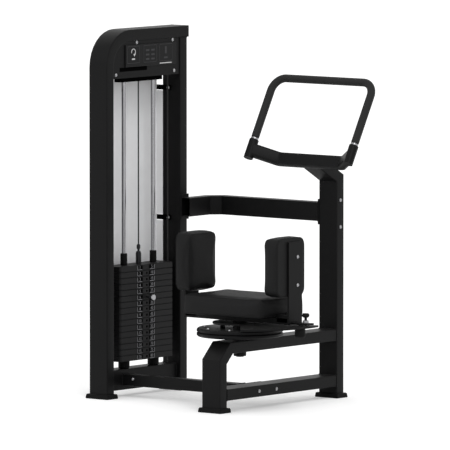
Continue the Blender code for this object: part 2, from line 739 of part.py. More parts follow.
def build_selector_rod(lift):
    """The rod down through the plates, with the stem and the cable fitting on the head plate."""
    rod_low = STACK_LOW + 0.004
    rod = SELECTOR_ROD_DIAMETER / 2
    stem = SELECTOR_STEM_DIAMETER / 2 + 0.002
    fitting = CABLE_FITTING_DIAMETER / 2
    seat = STACK_TOP + GAP
    stem_top = STACK_TOP + SELECTOR_STEM_HEIGHT
    middle = (rod_low + FITTING_TOP) / 2
    heights = [(0, FITTING_TOP), (fitting * 0.55, FITTING_TOP), (fitting, FITTING_TOP - 0.006),
               (fitting, stem_top + 0.012), (fitting * 0.6, stem_top + 0.006),
               (fitting * 0.6, stem_top), (stem - 0.003, stem_top - 0.002), (stem, stem_top - 0.010),
               (stem, seat), (rod, seat), (rod, rod_low + 0.001), (rod - 0.001, rod_low), (0, rod_low)]
    profile = [(radius, z - middle) for radius, z in heights]
    selector = turned_part("selector_rod", profile, (TOWER_X, COLUMN_Y, middle), "machined_steel",
                           lift, 14)
    hole = world_guide("selector_pin_bore", round_mesh(PIN_DIAMETER / 2 + RUNNING_GAP, 0.060, 12, "Y"),
                       (TOWER_X, COLUMN_Y, pin_height()))
    cut(selector, hole)


def pin_height():
    """The selector pin's height, in the lowest lifted plate."""
    return STACK_LOW + RESTING_PLATES * PLATE_PITCH + PLATE_THICKNESS / 2


def build_selector_pin(lift):
    """The selector pin, pushed through its plate and the selector rod from the front."""
    pin = PIN_DIAMETER / 2
    knob = PIN_KNOB_DIAMETER / 2
    face = COLUMN_Y - PLATE_DEPTH / 2
    tip = face - (COLUMN_Y + SELECTOR_ROD_DIAMETER / 2)
    out = PIN_REACH - PIN_KNOB_LENGTH
    profile = [(0, out + PIN_KNOB_LENGTH), (knob * PIN_KNOB_FACE, out + PIN_KNOB_LENGTH),
               (knob, out + PIN_KNOB_LENGTH * 0.75), (knob, out + 0.004), (knob * 0.7, out),
               (pin, out), (pin, tip + 0.002), (pin - 0.002, tip), (0, tip)]
    turned_part("selector_pin", profile, (TOWER_X, face, pin_height()), "chrome", lift, 20, "Y")


def build_guide_rods():
    """Two polished rods with rubber bumpers at their feet."""
    for side, name in ((-1, "left"), (1, "right")):
        centre = (TOWER_X + side * ROD_SPACING / 2, COLUMN_Y)
        rod_part(name + "_guide_rod", ROD_DIAMETER / 2, TOWER_RAIL_TOP + GAP, ROD_HEAD_LOW - GAP,
                 centre, "chrome")
        ring_part(name + "_stack_bumper", BUMPER_DIAMETER / 2, ROD_DIAMETER / 2 + BORE_GAP,
                  TOWER_RAIL_TOP + GAP, STACK_LOW - GAP, centre, "foot_rubber", None, 16, 0.004)


def build_sheave(name, x):
    """A grooved wheel with its axle, turned about Y."""
    rim, width = SHEAVE_DIAMETER / 2, SHEAVE_WIDTH / 2
    axle, reach = SHEAVE_AXLE_DIAMETER / 2, SHEAVE_AXLE_LENGTH / 2
    profile = [(0, reach), (axle, reach), (axle, width), (rim, width),
               (rim - SHEAVE_GROOVE, 0.0015), (rim - SHEAVE_GROOVE, -0.0015), (rim, -width),
               (axle, -width), (axle, -reach), (0, -reach)]
    return turned_part(name, profile, (x, COLUMN_Y, SHEAVE_Z), "sheave_black", None, 20, "Y")


def build_cable():
    """The stack's cable: its upright run, and its way over both sheaves into the base rail."""
    top = SHEAVE_Z
    rod_part("stack_cable", CABLE_DIAMETER / 2, FITTING_TOP + GAP, top - GAP, (TOWER_X, COLUMN_Y),
             "cable_black", None, 10, 0.0005)
    over = [(TOWER_X, top)]
    over += arc_points((CENTRE_SHEAVE_X, top), CABLE_PITCH_RADIUS, math.pi, math.pi / 2, 8)[1:]
    over += arc_points((SIDE_SHEAVE_X, top), CABLE_PITCH_RADIUS, math.pi / 2, 0, 8)
    over.append((CABLE_DOWN_X, TOWER_RAIL_TOP - TOWER_RAIL_HEIGHT / 2))
    points = [(x, 0, z - top) for x, z in over]
    mesh = wire_mesh("cable_over_sheaves", points, CABLE_DIAMETER, CABLE_SIDES_RESOLUTION)
    smooth(mesh)
    add_part("cable_over_sheaves", mesh, (0, COLUMN_Y, top), "cable_black")


def build_seat_frame():
    """The bent front tube, the low rail, the link to the tower and the handle post."""
    beam_z = SEAT_BEAM_TOP - SEAT_BEAM_HEIGHT / 2
    post_face = HANDLE_POST_X - TUBE_SIDE / 2 - GAP
    front_face = FRONT_POST_X + TUBE_SIDE / 2 + GAP
    path = [(0, TUBE_FLOOR), (0, beam_z - SEAT_BEND), (SEAT_BEND, beam_z),
            (post_face - FRONT_POST_X, beam_z)]
    seat_tube = tube_part("seat_frame_tube", path, XZ_PLANE, (FRONT_POST_X, SEAT_LINE_Y, 0),
                          (TUBE_SIDE, TUBE_DEEP), "frame_black")
    bore = world_guide("spindle_bore", round_mesh(SPINDLE_DIAMETER / 2 + RUNNING_GAP, 0.100, 24),
                       (AXIS_X, SEAT_LINE_Y, beam_z))
    cut(seat_tube, bore)
    tube_part("low_rail", [(front_face, 0), (post_face, 0)], Matrix(),
              (0, SEAT_LINE_Y, LOW_RAIL_TOP - TUBE_SIDE / 2), (TUBE_DEEP, TUBE_SIDE), "frame_black")
    build_link()
    build_handle_post()


def build_link():
    """The low tube from the tower's rear rail to the low rail, with its bolting flange."""
    flange_back = RIGHT_POST_BACK + GAP + FLANGE_THICKNESS
    start = flange_back - 0.002
    end = TUBE_DEEP - TOWER_RAIL_DEPTH - GAP
    link = tube_part("link_tube", [(0, start), (0, end)], Matrix(),
                     (LINK_X, 0, LOW_RAIL_TOP - TUBE_SIDE / 2), (TUBE_SIDE, TUBE_SIDE), "frame_black")
    flange = world_guide("link_flange", box_mesh((LINK_FLANGE_WIDTH, FLANGE_THICKNESS, TUBE_SIDE)),
                         (LINK_FLANGE_X, RIGHT_POST_BACK + GAP + FLANGE_THICKNESS / 2,
                          LOW_RAIL_TOP - TUBE_SIDE / 2))
    cut(link, flange, "UNION")
    vent = world_guide("link_vent", round_mesh(0.006, 0.030, 12, "Z"),
                       (LINK_X, start + 0.060, LOW_RAIL_TOP - TUBE_SIDE))
    cut(link, vent)


def handle_vectors():
    """The handle's directions: along its legs, and towards the user."""
    legs = Vector((math.sin(HANDLE_TILT), 0, math.cos(HANDLE_TILT)))
    user = Vector((-math.cos(HANDLE_TILT), 0, math.sin(HANDLE_TILT)))
    return legs, user


def build_handle_post():
    """The tall post, bent at its top towards the user."""
    legs, user = handle_vectors()
    bar = Vector((HANDLE_BAR_X, 0, HANDLE_BAR_Z))
    reach = (HANDLE_BAR_X - HANDLE_POST_X) / user.x
    bend = bar - user * reach
    end = bar - user * (HANDLE_BAR_DEPTH / 2 + GAP)
    path = [(0, TUBE_FLOOR), (0, bend.z), (end.x - HANDLE_POST_X, end.z)]
    tube_part("handle_post", path, XZ_PLANE, (HANDLE_POST_X, SEAT_LINE_Y, 0),
              (TUBE_SIDE, TUBE_DEEP), "frame_black")


def build_upper_beam():
    """The beam from the right column round to the back of the handle post, with its flanges."""
    front = -GAP - FLANGE_THICKNESS
    beam_y = front - UPPER_BEAM_WIDTH / 2
    end = RIGHT_POST_BACK + GAP + FLANGE_THICKNESS / 2
    start_x = COLUMN_RIGHT_X - TUBE_SIDE / 2
    middle = UPPER_BEAM_LOW + UPPER_BEAM_HEIGHT / 2
    path = [(start_x, beam_y), (UPPER_BEAM_X - UPPER_BEAM_BEND, beam_y),
            (UPPER_BEAM_X, beam_y - UPPER_BEAM_BEND), (UPPER_BEAM_X, end)]
    beam = tube_part("upper_beam", path, Matrix(), (0, 0, middle),
                     (UPPER_BEAM_WIDTH, UPPER_BEAM_HEIGHT), "frame_black")
    flange_height = UPPER_BEAM_HEIGHT + 2 * FLANGE_RISE
    tower_flange = world_guide("tower_flange", box_mesh((TUBE_SIDE, FLANGE_THICKNESS + 0.002,
                                                         flange_height)),
                               (COLUMN_RIGHT_X, front + FLANGE_THICKNESS / 2 - 0.001, middle))
    cut(beam, tower_flange, "UNION")
    post_low = HANDLE_POST_X - TUBE_SIDE / 2
    post_high = UPPER_BEAM_X + UPPER_BEAM_WIDTH / 2 - 0.002
    post_flange = world_guide("post_flange", box_mesh((post_high - post_low, FLANGE_THICKNESS,
                                                       flange_height)),
                              ((post_low + post_high) / 2,
                               RIGHT_POST_BACK + GAP + FLANGE_THICKNESS / 2, middle))
    cut(beam, post_flange, "UNION")


def handle_matrix(first, second):
    """A matrix from a plane path's axes to two directions of the handle."""
    third = first.cross(second)
    return Matrix((first, second, third)).transposed().to_4x4()


def build_handle():
    """The swept bar with its sockets, the hoop, its foam grip and the two rings."""
    legs, user = handle_vectors()
    along = Vector((0, 1, 0))
    bar_place = Vector((HANDLE_BAR_X, SEAT_LINE_Y, HANDLE_BAR_Z))
    bar_path = rounded_path([(-HANDLE_HALF_WIDTH, HANDLE_SWEEP), (-HANDLE_FLAT_HALF, 0),
                             (HANDLE_FLAT_HALF, 0), (HANDLE_HALF_WIDTH, HANDLE_SWEEP)],
                            [HANDLE_BEND_RADIUS, HANDLE_BEND_RADIUS], 3)
    bar = tube_part("handle_bar", bar_path, handle_matrix(along, user), bar_place,
                    (HANDLE_BAR_DEPTH, HANDLE_BAR_HEIGHT), "frame_black", corner=0.012, solid=True)
    hoop_place = bar_place + user * HANDLE_SWEEP
    turn = handle_matrix(along, legs)
    for side in (-1, 1):
        socket = world_guide(f"socket_{side}",
                             round_mesh(SOCKET_DIAMETER / 2, SOCKET_HIGH - SOCKET_LOW, 20),
                             hoop_place + along * side * HANDLE_HALF_WIDTH
                             + legs * (SOCKET_LOW + SOCKET_HIGH) / 2)
        socket.rotation_euler = (0, HANDLE_TILT, 0)
        cut(bar, socket, "UNION")
    for side in (-1, 1):
        bore = world_guide(f"socket_bore_{side}",
                           round_mesh(HOOP_DIAMETER / 2 + GAP, SOCKET_DEPTH, 20),
                           hoop_place + along * side * HANDLE_HALF_WIDTH
                           + legs * (SOCKET_HIGH - SOCKET_DEPTH / 2 + 0.005))
        bore.rotation_euler = (0, HANDLE_TILT, 0)
        cut(bar, bore)
    build_hoop(hoop_place, turn, legs, along)


def hoop_path(low):
    """The hoop's path in the handle's plane, from a height on one leg to the other."""
    return rounded_path([(-HANDLE_HALF_WIDTH, low), (-HANDLE_HALF_WIDTH, HOOP_TOP),
                         (HANDLE_HALF_WIDTH, HOOP_TOP), (HANDLE_HALF_WIDTH, low)],
                        [HOOP_CORNER, HOOP_CORNER], 5)


def build_hoop(place, turn, legs, along):
    """The steel hoop in its sockets, the foam over it and a ring at each end."""
    hoop_low = SOCKET_HIGH + 0.005 - SOCKET_DEPTH + 0.001
    hoop_points = [(point.x, point.y, 0) for point in hoop_path(hoop_low)]
    hoop = wire_mesh("handle_hoop", hoop_points, HOOP_DIAMETER, 3)
    hoop.transform(turn)
    smooth(hoop)
    add_part("handle_hoop", hoop, place, "frame_black")
    ring_low = SOCKET_HIGH + GAP
    grip_low = ring_low + RING_HEIGHT + GAP
    circle = arc_points((0, 0), GRIP_DIAMETER / 2, 0, 2 * math.pi, 12)[:-1]
    mesh = swept_mesh("handle_grip", hoop_path(grip_low), circle, closed_ends=False)
    mesh.transform(turn)
    grip = add_part("handle_grip", mesh, place, "foam_black")
    foam = grip.modifiers.new("foam", "SOLIDIFY")
    foam.thickness = (GRIP_DIAMETER - HOOP_DIAMETER) / 2 - GAP * 2
    foam.offset = -1
    foam.use_even_offset = True
    smooth(mesh)
    for side, name in ((-1, "near_grip_ring"), (1, "far_grip_ring")):
        ring = ring_part(name, RING_DIAMETER / 2, HOOP_DIAMETER / 2 + GAP, 0, RING_HEIGHT, (0, 0),
                         "chrome", None, 20, 0.0015)
        ring.location = place + along * side * HANDLE_HALF_WIDTH + legs * (ring_low + RING_HEIGHT / 2)
        ring.rotation_euler = (0, HANDLE_TILT, 0)


def build_turntable(turntable):
    """The bush, spindle and nut, the grooved disc, and the index plate over it."""
    bore = SPINDLE_DIAMETER / 2 + RUNNING_GAP
    centre = (AXIS_X, SEAT_LINE_Y)
    ring_part("spindle_bush", BUSH_DIAMETER / 2, bore, SEAT_BEAM_TOP + GAP, DISC_LOW - GAP, centre,
              "machined_steel", None, 20)
    rod_part("spindle", SPINDLE_DIAMETER / 2, SPINDLE_LOW, SPINDLE_TOP, centre, "machined_steel",
             turntable, 24, 0.002)
    nut_high = SEAT_BEAM_TOP - SEAT_BEAM_HEIGHT - GAP
    ring_part("spindle_nut", NUT_DIAMETER / 2, bore, nut_high - NUT_HEIGHT, nut_high, centre,
              "frame_black", turntable, 20, 0.002)
    rim, half = DISC_RADIUS, DISC_THICKNESS / 2
    profile = [(bore, half), (rim - 0.006, half), (rim, half - 0.006),
               (rim, DISC_GROOVE / 2), (rim - DISC_GROOVE, 0), (rim, -DISC_GROOVE / 2),
               (rim, -half + 0.006), (rim - 0.006, -half), (bore, -half)]
    turned_part("drive_disc", profile, (*centre, DISC_LOW + half), "frame_black", turntable, 40)
    build_index_plate(turntable)


def index_point(angle, radius):
    """A point of the index plate: the angle is counted from the side away from the tower."""
    return Vector((AXIS_X + radius * math.sin(angle), SEAT_LINE_Y - radius * math.cos(angle), 0))


def build_index_plate(turntable):
    """The plate with the index holes, standing on bosses over the disc, and its bumper."""
    start = -math.pi / 2 + INDEX_FAR_ANGLE
    hub_from = start + INDEX_SPREAD + 2 * INDEX_END_ANGLE
    lobe = arc_points((0, 0), INDEX_RADIUS, start, hub_from, 12)
    hub = arc_points((0, 0), INDEX_HUB_RADIUS, hub_from, start + 2 * math.pi, 20)
    plate = outline_part("index_plate", lobe + hub, Matrix(),
                         (AXIS_X, SEAT_LINE_Y, INDEX_LOW + INDEX_THICKNESS / 2), INDEX_THICKNESS,
                         "frame_black", turntable)
    boss_high = INDEX_LOW + INDEX_THICKNESS / 2
    for index in range(SPACER_COUNT):
        turn = math.pi + index * 2 * math.pi / SPACER_COUNT
        place = index_point(turn, SPACER_CIRCLE)
        boss = world_guide(f"index_boss_{index}",
                           round_mesh(SPACER_DIAMETER / 2, boss_high - DISC_TOP - GAP, 16),
                           place + Vector((0, 0, (boss_high + DISC_TOP + GAP) / 2)))
        cut(plate, boss, "UNION")
    collar = world_guide("index_collar", round_mesh(BUSH_DIAMETER / 2, YOKE_LOW - GAP - DISC_TOP - GAP,
                                                    28),
                         (AXIS_X, SEAT_LINE_Y, (YOKE_LOW + DISC_TOP) / 2))
    cut(plate, collar, "UNION")
    hole = world_guide("index_spindle_bore", round_mesh(SPINDLE_DIAMETER / 2 + RUNNING_GAP, 0.080, 24),
                       (AXIS_X, SEAT_LINE_Y, INDEX_LOW))
    cut(plate, hole)
    for step in range(INDEX_HOLES):
        place = index_point(PULL_PIN_ANGLE - step * INDEX_PITCH, INDEX_HOLE_RADIUS)
        drill = world_guide(f"index_hole_{step}",
                            round_mesh(PULL_PIN_DIAMETER / 2 + RUNNING_GAP * 2, 0.030, 14),
                            place + Vector((0, 0, boss_high)))
        cut(plate, drill)
    build_index_bumper(turntable)


def build_index_bumper(turntable):
    """A rubber bumper under the index plate's rim, between two index holes."""
    place = index_point(PULL_PIN_ANGLE - INDEX_PITCH / 2,
                        INDEX_RADIUS - INDEX_BUMPER_DIAMETER / 2 - 0.001)
    high = INDEX_LOW - GAP
    rod_part("index_bumper", INDEX_BUMPER_DIAMETER / 2, high - INDEX_BUMPER_HEIGHT, high,
             (place.x, place.y), "foot_rubber", turntable, 24, 0.004)


def cushion_mesh(size, crown, tuck):
    """A cushion cage: crowned on its upper face, with sides drawn in between the corners."""
    marks = (-1.0, -0.86, -0.45, 0.0, 0.45, 0.86, 1.0)
    layers = (-1.0, 0.0, 1.0)
    builder = bmesh.new()
    verts = {}

    def vertex(i, j, k):
        """The cage's vertex at a grid place, made once."""
        if (i, j, k) not in verts:
            u, v, w = marks[i], marks[j], layers[k]
            swell = crown * (1 - u * u) * (1 - v * v) if k == 2 else 0
            x = u * (1 - tuck * (1 - v * v) * abs(u)) * size[0] / 2
            y = v * (1 - tuck * (1 - u * u) * abs(v)) * size[1] / 2
            verts[(i, j, k)] = builder.verts.new((x, y, w * size[2] / 2 + swell))
        return verts[(i, j, k)]

    last, top = len(marks) - 1, len(layers) - 1
    for i in range(last):
        for j in range(last):
            builder.faces.new([vertex(*p, top) for p in ((i, j), (i + 1, j), (i + 1, j + 1), (i, j + 1))])
            builder.faces.new([vertex(*p, 0) for p in ((i, j), (i, j + 1), (i + 1, j + 1), (i + 1, j))])
    for i in range(last):
        for k in range(top):
            side = ((i, k), (i + 1, k), (i + 1, k + 1), (i, k + 1))
            builder.faces.new([vertex(a, 0, b) for a, b in side])
            builder.faces.new([vertex(a, last, b) for a, b in reversed(side)])
            builder.faces.new([vertex(0, a, b) for a, b in reversed(side)])
            builder.faces.new([vertex(last, a, b) for a, b in side])
    mesh = bpy.data.meshes.new("cushion")
    builder.to_mesh(mesh)
    builder.free()
    return mesh


def cushion_part(name, size, crown, place, parent):
    """A soft pad, flat where it lies on its board."""
    part = add_part(name, cushion_mesh(size, crown, 0.02), place, "vinyl_black", parent)
    soft = part.modifiers.new("soft", "SUBSURF")
    soft.levels = 1
    soft.render_levels = 1
    return part


def build_seat(seat):
    """The yoke with its brackets and pin arm, the seat board and cushion."""
    yoke = span_box("seat_yoke", (AXIS_X - YOKE_WIDTH / 2, SEAT_LINE_Y - BRACKET_INNER - 0.002, YOKE_LOW),
                    (AXIS_X + YOKE_WIDTH / 2, SEAT_LINE_Y + BRACKET_INNER + 0.002, YOKE_TOP),
                    "frame_black", seat)
    for side in (-1, 1):
        y = SEAT_LINE_Y + side * (BRACKET_INNER + BRACKET_THICKNESS / 2)
        bracket = world_guide(f"pad_bracket_{side}",
                              box_mesh((BRACKET_WIDTH, BRACKET_THICKNESS, BRACKET_TOP - YOKE_LOW)),
                              (AXIS_X + BRACKET_OFFSET_X, y, (BRACKET_TOP + YOKE_LOW) / 2))
        cut(yoke, bracket, "UNION")
    arm_end = INDEX_RADIUS - 0.004
    arm = world_guide("pin_arm", box_mesh((PIN_ARM_WIDTH, arm_end - BRACKET_INNER - 0.002,
                                           PIN_ARM_THICKNESS)),
                      (AXIS_X + BRACKET_OFFSET_X,
                       SEAT_LINE_Y - (arm_end + BRACKET_INNER + 0.002) / 2,
                       (PIN_ARM_LOW + PIN_ARM_TOP) / 2))
    cut(yoke, arm, "UNION")
    bore = world_guide("yoke_bore", round_mesh(SPINDLE_DIAMETER / 2 + RUNNING_GAP, 0.080, 24),
                       (AXIS_X, SEAT_LINE_Y, YOKE_LOW))
    cut(yoke, bore)
    pin_bore = world_guide("arm_pin_bore", round_mesh(PULL_PIN_DIAMETER / 2 + RUNNING_GAP, 0.040, 16),
                           index_point(PULL_PIN_ANGLE, INDEX_HOLE_RADIUS) + Vector((0, 0, PIN_ARM_TOP)))
    cut(yoke, pin_bore)
    seat_x = AXIS_X + SEAT_OFFSET_X
    board = (SEAT_WIDTH / 2 - SEAT_BOARD_INSET, SEAT_LENGTH / 2 - SEAT_BOARD_INSET)
    span_box("seat_board", (seat_x - board[0], SEAT_LINE_Y - board[1], YOKE_TOP + GAP),
             (seat_x + board[0], SEAT_LINE_Y + board[1], SEAT_CUSHION_LOW - GAP), "board_black", seat)
    cushion_part("seat_cushion", (SEAT_WIDTH, SEAT_LENGTH, SEAT_CUSHION_HEIGHT), 0.010,
                 (seat_x, SEAT_LINE_Y, SEAT_CUSHION_LOW + SEAT_CUSHION_HEIGHT / 2), seat)
    build_pads(seat)
    build_pull_pin_housing(seat)


def build_pads(seat):
    """The two upright pads on their boards, facing each other across the seat."""
    middle = PAD_LOW + PAD_HEIGHT / 2
    for side, name in ((-1, "near"), (1, "far")):
        cushion_y = SEAT_LINE_Y + side * (PAD_GAP + PAD_THICKNESS) / 2
        pad = cushion_part(name + "_pad_cushion", (PAD_WIDTH, PAD_HEIGHT, PAD_THICKNESS), 0.008,
                           (AXIS_X, cushion_y, middle), seat)
        pad.rotation_euler = (side * math.pi / 2, 0, 0)
        inner = PAD_GAP / 2 + PAD_THICKNESS + GAP
        low_y, high_y = sorted((SEAT_LINE_Y + side * inner, SEAT_LINE_Y + side * PAD_OUTER))
        span_box(name + "_pad_board", (AXIS_X - PAD_WIDTH / 2 + 0.008, low_y, PAD_LOW + 0.008),
                 (AXIS_X + PAD_WIDTH / 2 - 0.008, high_y, PAD_LOW + PAD_HEIGHT - 0.008),
                 "board_black", seat)


def build_pull_pin_housing(seat):
    """The threaded housing of the pull pin on the end of the arm."""
    place = index_point(PULL_PIN_ANGLE, INDEX_HOLE_RADIUS)
    ring_part("pull_pin_housing", HOUSING_DIAMETER / 2, PULL_PIN_DIAMETER / 2 + RUNNING_GAP,
              PIN_ARM_TOP + GAP, PIN_ARM_TOP + HOUSING_HEIGHT, (place.x, place.y), "machined_steel",
              seat, 20)


def build_pull_pin(holder):
    """The pull pin with its knob, parked clear of the index plate."""
    tip = INDEX_TOP + PULL_PIN_PARK
    knob_low = PIN_ARM_TOP + HOUSING_HEIGHT + PULL_PIN_TRAVEL + GAP
    knob_high = knob_low + KNOB_HEIGHT
    pin, knob = PULL_PIN_DIAMETER / 2, KNOB_DIAMETER / 2
    middle = (tip + knob_high) / 2
    heights = [(0, knob_high), (knob * 0.75, knob_high), (knob, knob_high - 0.005),
               (knob, knob_low + 0.005), (knob * 0.7, knob_low), (pin, knob_low),
               (pin, tip + 0.002), (pin - 0.002, tip), (0, tip)]
    place = index_point(PULL_PIN_ANGLE, INDEX_HOLE_RADIUS)
    turned_part("pull_pin", [(radius, z - middle) for radius, z in heights],
                (place.x, place.y, middle), "frame_black", holder, 16)


def main():
    """Build the whole machine."""
    build_foot("left_column_foot", COLUMN_LEFT_X, COLUMN_Y)
    build_foot("right_column_foot", COLUMN_RIGHT_X, COLUMN_Y)
    build_foot("front_post_foot", FRONT_POST_X, SEAT_LINE_Y)
    build_foot("handle_post_foot", HANDLE_POST_X, SEAT_LINE_Y)
    build_columns()
    build_tower_base()
    build_tower_top()
    build_shroud()
    build_guide_rods()
    lift = axis_empty("stack_lift_line", (TOWER_X, COLUMN_Y, STACK_LOW))
    build_stack(lift)
    build_selector_pin(lift)
    build_sheave("centre_sheave", CENTRE_SHEAVE_X)
    build_sheave("side_sheave", SIDE_SHEAVE_X)
    build_cable()
    build_seat_frame()
    build_upper_beam()
    build_handle()
    turntable = axis_empty("turntable_axis", AXIS)
    build_turntable(turntable)
    seat = axis_empty("seat_axis", AXIS)
    build_seat(seat)
    build_pull_pin(axis_empty("pull_pin_line", index_point(PULL_PIN_ANGLE, INDEX_HOLE_RADIUS)))
    bpy.context.view_layer.update()


main()
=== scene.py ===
"""Looks of a kneeling torso rotation machine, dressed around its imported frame.

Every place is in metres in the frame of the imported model. Pieces that keep their node's shape are
smoothed copies of it. Cushions, the foam grip, the guard's folded sheet, the rods' clamp strip,
gussets, fasteners, weld beads and marks are made here.
"""
import json
import math
from functools import cache

import bmesh
import bpy
from bpy.props import (BoolProperty, FloatProperty, FloatVectorProperty, IntProperty,
                       PointerProperty)
from mathutils import Matrix, Vector
from mathutils.bvhtree import BVHTree

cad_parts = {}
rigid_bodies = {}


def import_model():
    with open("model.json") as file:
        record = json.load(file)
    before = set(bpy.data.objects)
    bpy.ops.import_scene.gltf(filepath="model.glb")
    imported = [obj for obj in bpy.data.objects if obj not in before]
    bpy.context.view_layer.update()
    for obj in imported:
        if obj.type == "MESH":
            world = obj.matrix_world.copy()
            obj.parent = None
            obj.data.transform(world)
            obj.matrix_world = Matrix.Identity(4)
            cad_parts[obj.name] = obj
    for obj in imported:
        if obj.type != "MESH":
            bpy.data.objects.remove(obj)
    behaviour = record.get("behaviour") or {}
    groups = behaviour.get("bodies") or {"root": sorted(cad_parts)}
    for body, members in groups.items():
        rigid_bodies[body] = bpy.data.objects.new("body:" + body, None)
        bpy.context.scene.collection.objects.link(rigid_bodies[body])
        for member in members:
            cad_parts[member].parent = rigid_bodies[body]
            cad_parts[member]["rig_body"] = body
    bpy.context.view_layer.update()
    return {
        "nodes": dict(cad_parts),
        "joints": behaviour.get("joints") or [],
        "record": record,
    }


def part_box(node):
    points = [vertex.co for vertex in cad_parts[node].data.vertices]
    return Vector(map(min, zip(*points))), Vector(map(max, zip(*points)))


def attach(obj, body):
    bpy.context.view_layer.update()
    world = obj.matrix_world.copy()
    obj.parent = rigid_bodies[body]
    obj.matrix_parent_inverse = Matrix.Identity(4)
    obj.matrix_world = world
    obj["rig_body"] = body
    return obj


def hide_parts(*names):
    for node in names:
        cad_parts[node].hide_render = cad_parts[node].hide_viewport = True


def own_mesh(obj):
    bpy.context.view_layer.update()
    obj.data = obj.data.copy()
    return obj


bl_info = {
    "name": "Kneeling rotation machine",
    "version": (1, 0, 0),
    "blender": (4, 5, 0),
    "location": "View3D > Sidebar > Machine",
    "description": "Dresses the packed frame of a kneeling torso rotation machine",
    "category": "Add Mesh",
}

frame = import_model()
SLOT_OF = {row["node"]: row["material_slot"] for row in frame["record"]["subparts"]}
BODY_OF = {node: item["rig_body"] for node, item in frame["nodes"].items()}
AXIS = Vector(next(j["pos_m"] for j in frame["joints"] if j["name"] == "turntable_turn"))
TOWER_CORNER = Vector((*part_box("arch_column")[0].xy, 0))
IMAGE_SIDE = 450
WELD_DISTANCE = 0.00002
SMOOTH_ANGLE = math.radians(33)
QUARTER = math.pi / 2


def middle_of(name):
    """The middle of a node's box."""
    return sum(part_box(name), Vector()) / 2


# --- Settings ---

def a_colour(name, description, *default):
    """A colour setting."""
    return FloatVectorProperty(name=name, description=description, default=default, size=3,
                               subtype="COLOR", min=0, max=1)


def a_length(name, description, default, low):
    """A length setting in metres, with its least value."""
    return FloatProperty(name=name, description=description, default=default, min=low,
                         unit="LENGTH")


def a_number(name, description, default, low):
    """A plain number setting, with its least value."""
    return FloatProperty(name=name, description=description, default=default, min=low)


class CoatSettings(bpy.types.PropertyGroup):
    """Powder coat of the frame."""
    colour: a_colour("Coat colour", "Colour of the powder coat", 0.0046, 0.0046, 0.0048)
    worn: a_colour("Worn colour", "Colour where the coat is rubbed", 0.028, 0.028, 0.029)
    roughness: FloatProperty(name="Roughness", description="Roughness of the coat",
                             default=0.42, min=0, max=1, subtype="FACTOR")
    grain: a_number("Grain scale", "Grains of the coat for each metre", 700, 10)
    weld_pitch: a_length("Weld ripple", "Distance between a weld's ripples", 0.0032, 0.001)
    weld_radius: a_length("Weld radius", "Half the width of a weld bead", 0.0030, 0.0005)


class CushionSettings(bpy.types.PropertyGroup):
    """Upholstery of the seat and the side pads."""
    vinyl: a_colour("Vinyl colour", "Colour of the covers", 0.0042, 0.0042, 0.0044)
    swell: a_length("Swell", "Most that the filling pushes the cover out", 0.0035, 0)
    start_inset: a_length("Start inset", "How much smaller a pad starts", 0.0035, 0)
    voxel: a_length("Remesh size", "Face size of a pad before it swells", 0.0050, 0.002)
    frames: IntProperty(name="Frames", description="Steps of the swelling", default=20, min=2)
    welt: a_length("Welt radius", "Radius of the sewn edge cord", 0.0017, 0.0003)
    stitch_pitch: a_length("Stitch pitch", "Distance between two stitches", 0.0055, 0.001)
    simulate: BoolProperty(name="Fill by simulation", description="Swell the pads with cloth",
                           default=True)


class StackSettings(bpy.types.PropertyGroup):
    """Marks on the weight stack."""
    label_width: a_length("Label width", "Width of the marked strip", 0.117, 0.02)
    label_shift: a_length("Label shift", "How far the strip is off the middle", 0.007, -0.05)
    number_height: a_length("Number height", "Height of the plate numbers", 0.0135, 0.003)
    plate_mass: IntProperty(name="Plate mass", description="Kilograms of one plate", default=5,
                            min=1)
    ink: a_colour("Mark colour", "Colour of numbers and lines", 0.21, 0.21, 0.22)


class FastenerSettings(bpy.types.PropertyGroup):
    """Bolt heads."""
    head_radius: a_length("Head radius", "Radius of a bolt head", 0.0060, 0.002)
    steel: a_colour("Steel colour", "Colour of the plated steel", 0.42, 0.42, 0.43)


class StageSettings(bpy.types.PropertyGroup):
    """Camera, light and floor."""
    azimuth: FloatProperty(name="Azimuth", description="Heading of the camera from the seat's side",
                           default=math.radians(51), subtype="ANGLE", unit="ROTATION")
    elevation: FloatProperty(name="Elevation", description="How far the camera looks down",
                             default=math.radians(4.9), subtype="ANGLE", unit="ROTATION")
    distance: a_length("Distance", "Distance of the camera", 36.0, 1)
    focal_pixels: a_number("Focal length", "Focal length in image pixels", 8300, 100)
    floor_colour: a_colour("Floor colour", "Colour of the floor", 0.86, 0.86, 0.86)
    ambient: a_number("Ambient", "Strength of the room's even light", 0.85, 0)
    key: a_number("Key", "Strength of the main lamp", 0.8, 0)
    fill: a_number("Fill", "Strength of the side lamp", 0.4, 0)


class MachineSettings(bpy.types.PropertyGroup):
    """All the settings of the machine."""
    coat: PointerProperty(type=CoatSettings, name="Coat", description="Powder coat")
    cushion: PointerProperty(type=CushionSettings, name="Cushions", description="Upholstery")
    stack: PointerProperty(type=StackSettings, name="Stack", description="Stack marks")
    fastener: PointerProperty(type=FastenerSettings, name="Fasteners", description="Bolt heads")
    stage: PointerProperty(type=StageSettings, name="Stage", description="Camera and light")


def settings():
    """The machine's settings in this scene."""
    return bpy.context.scene.rotation_machine


# --- Nodes, for shaders and geometry alike ---

def feed(tree, item, values):
    """Feed a node's inputs, each from another socket or with a plain value."""
    for label, value in values.items():
        if isinstance(value, bpy.types.NodeSocket):
            tree.links.new(value, item.inputs[label])
        else:
            item.inputs[label].default_value = value


def node(tree, kind, fed=None, **values):
    """A node with its properties set and its inputs fed."""
    item = tree.nodes.new(kind)
    for key, value in values.items():
        setattr(item, key, value)
    feed(tree, item, fed or {})
    return item


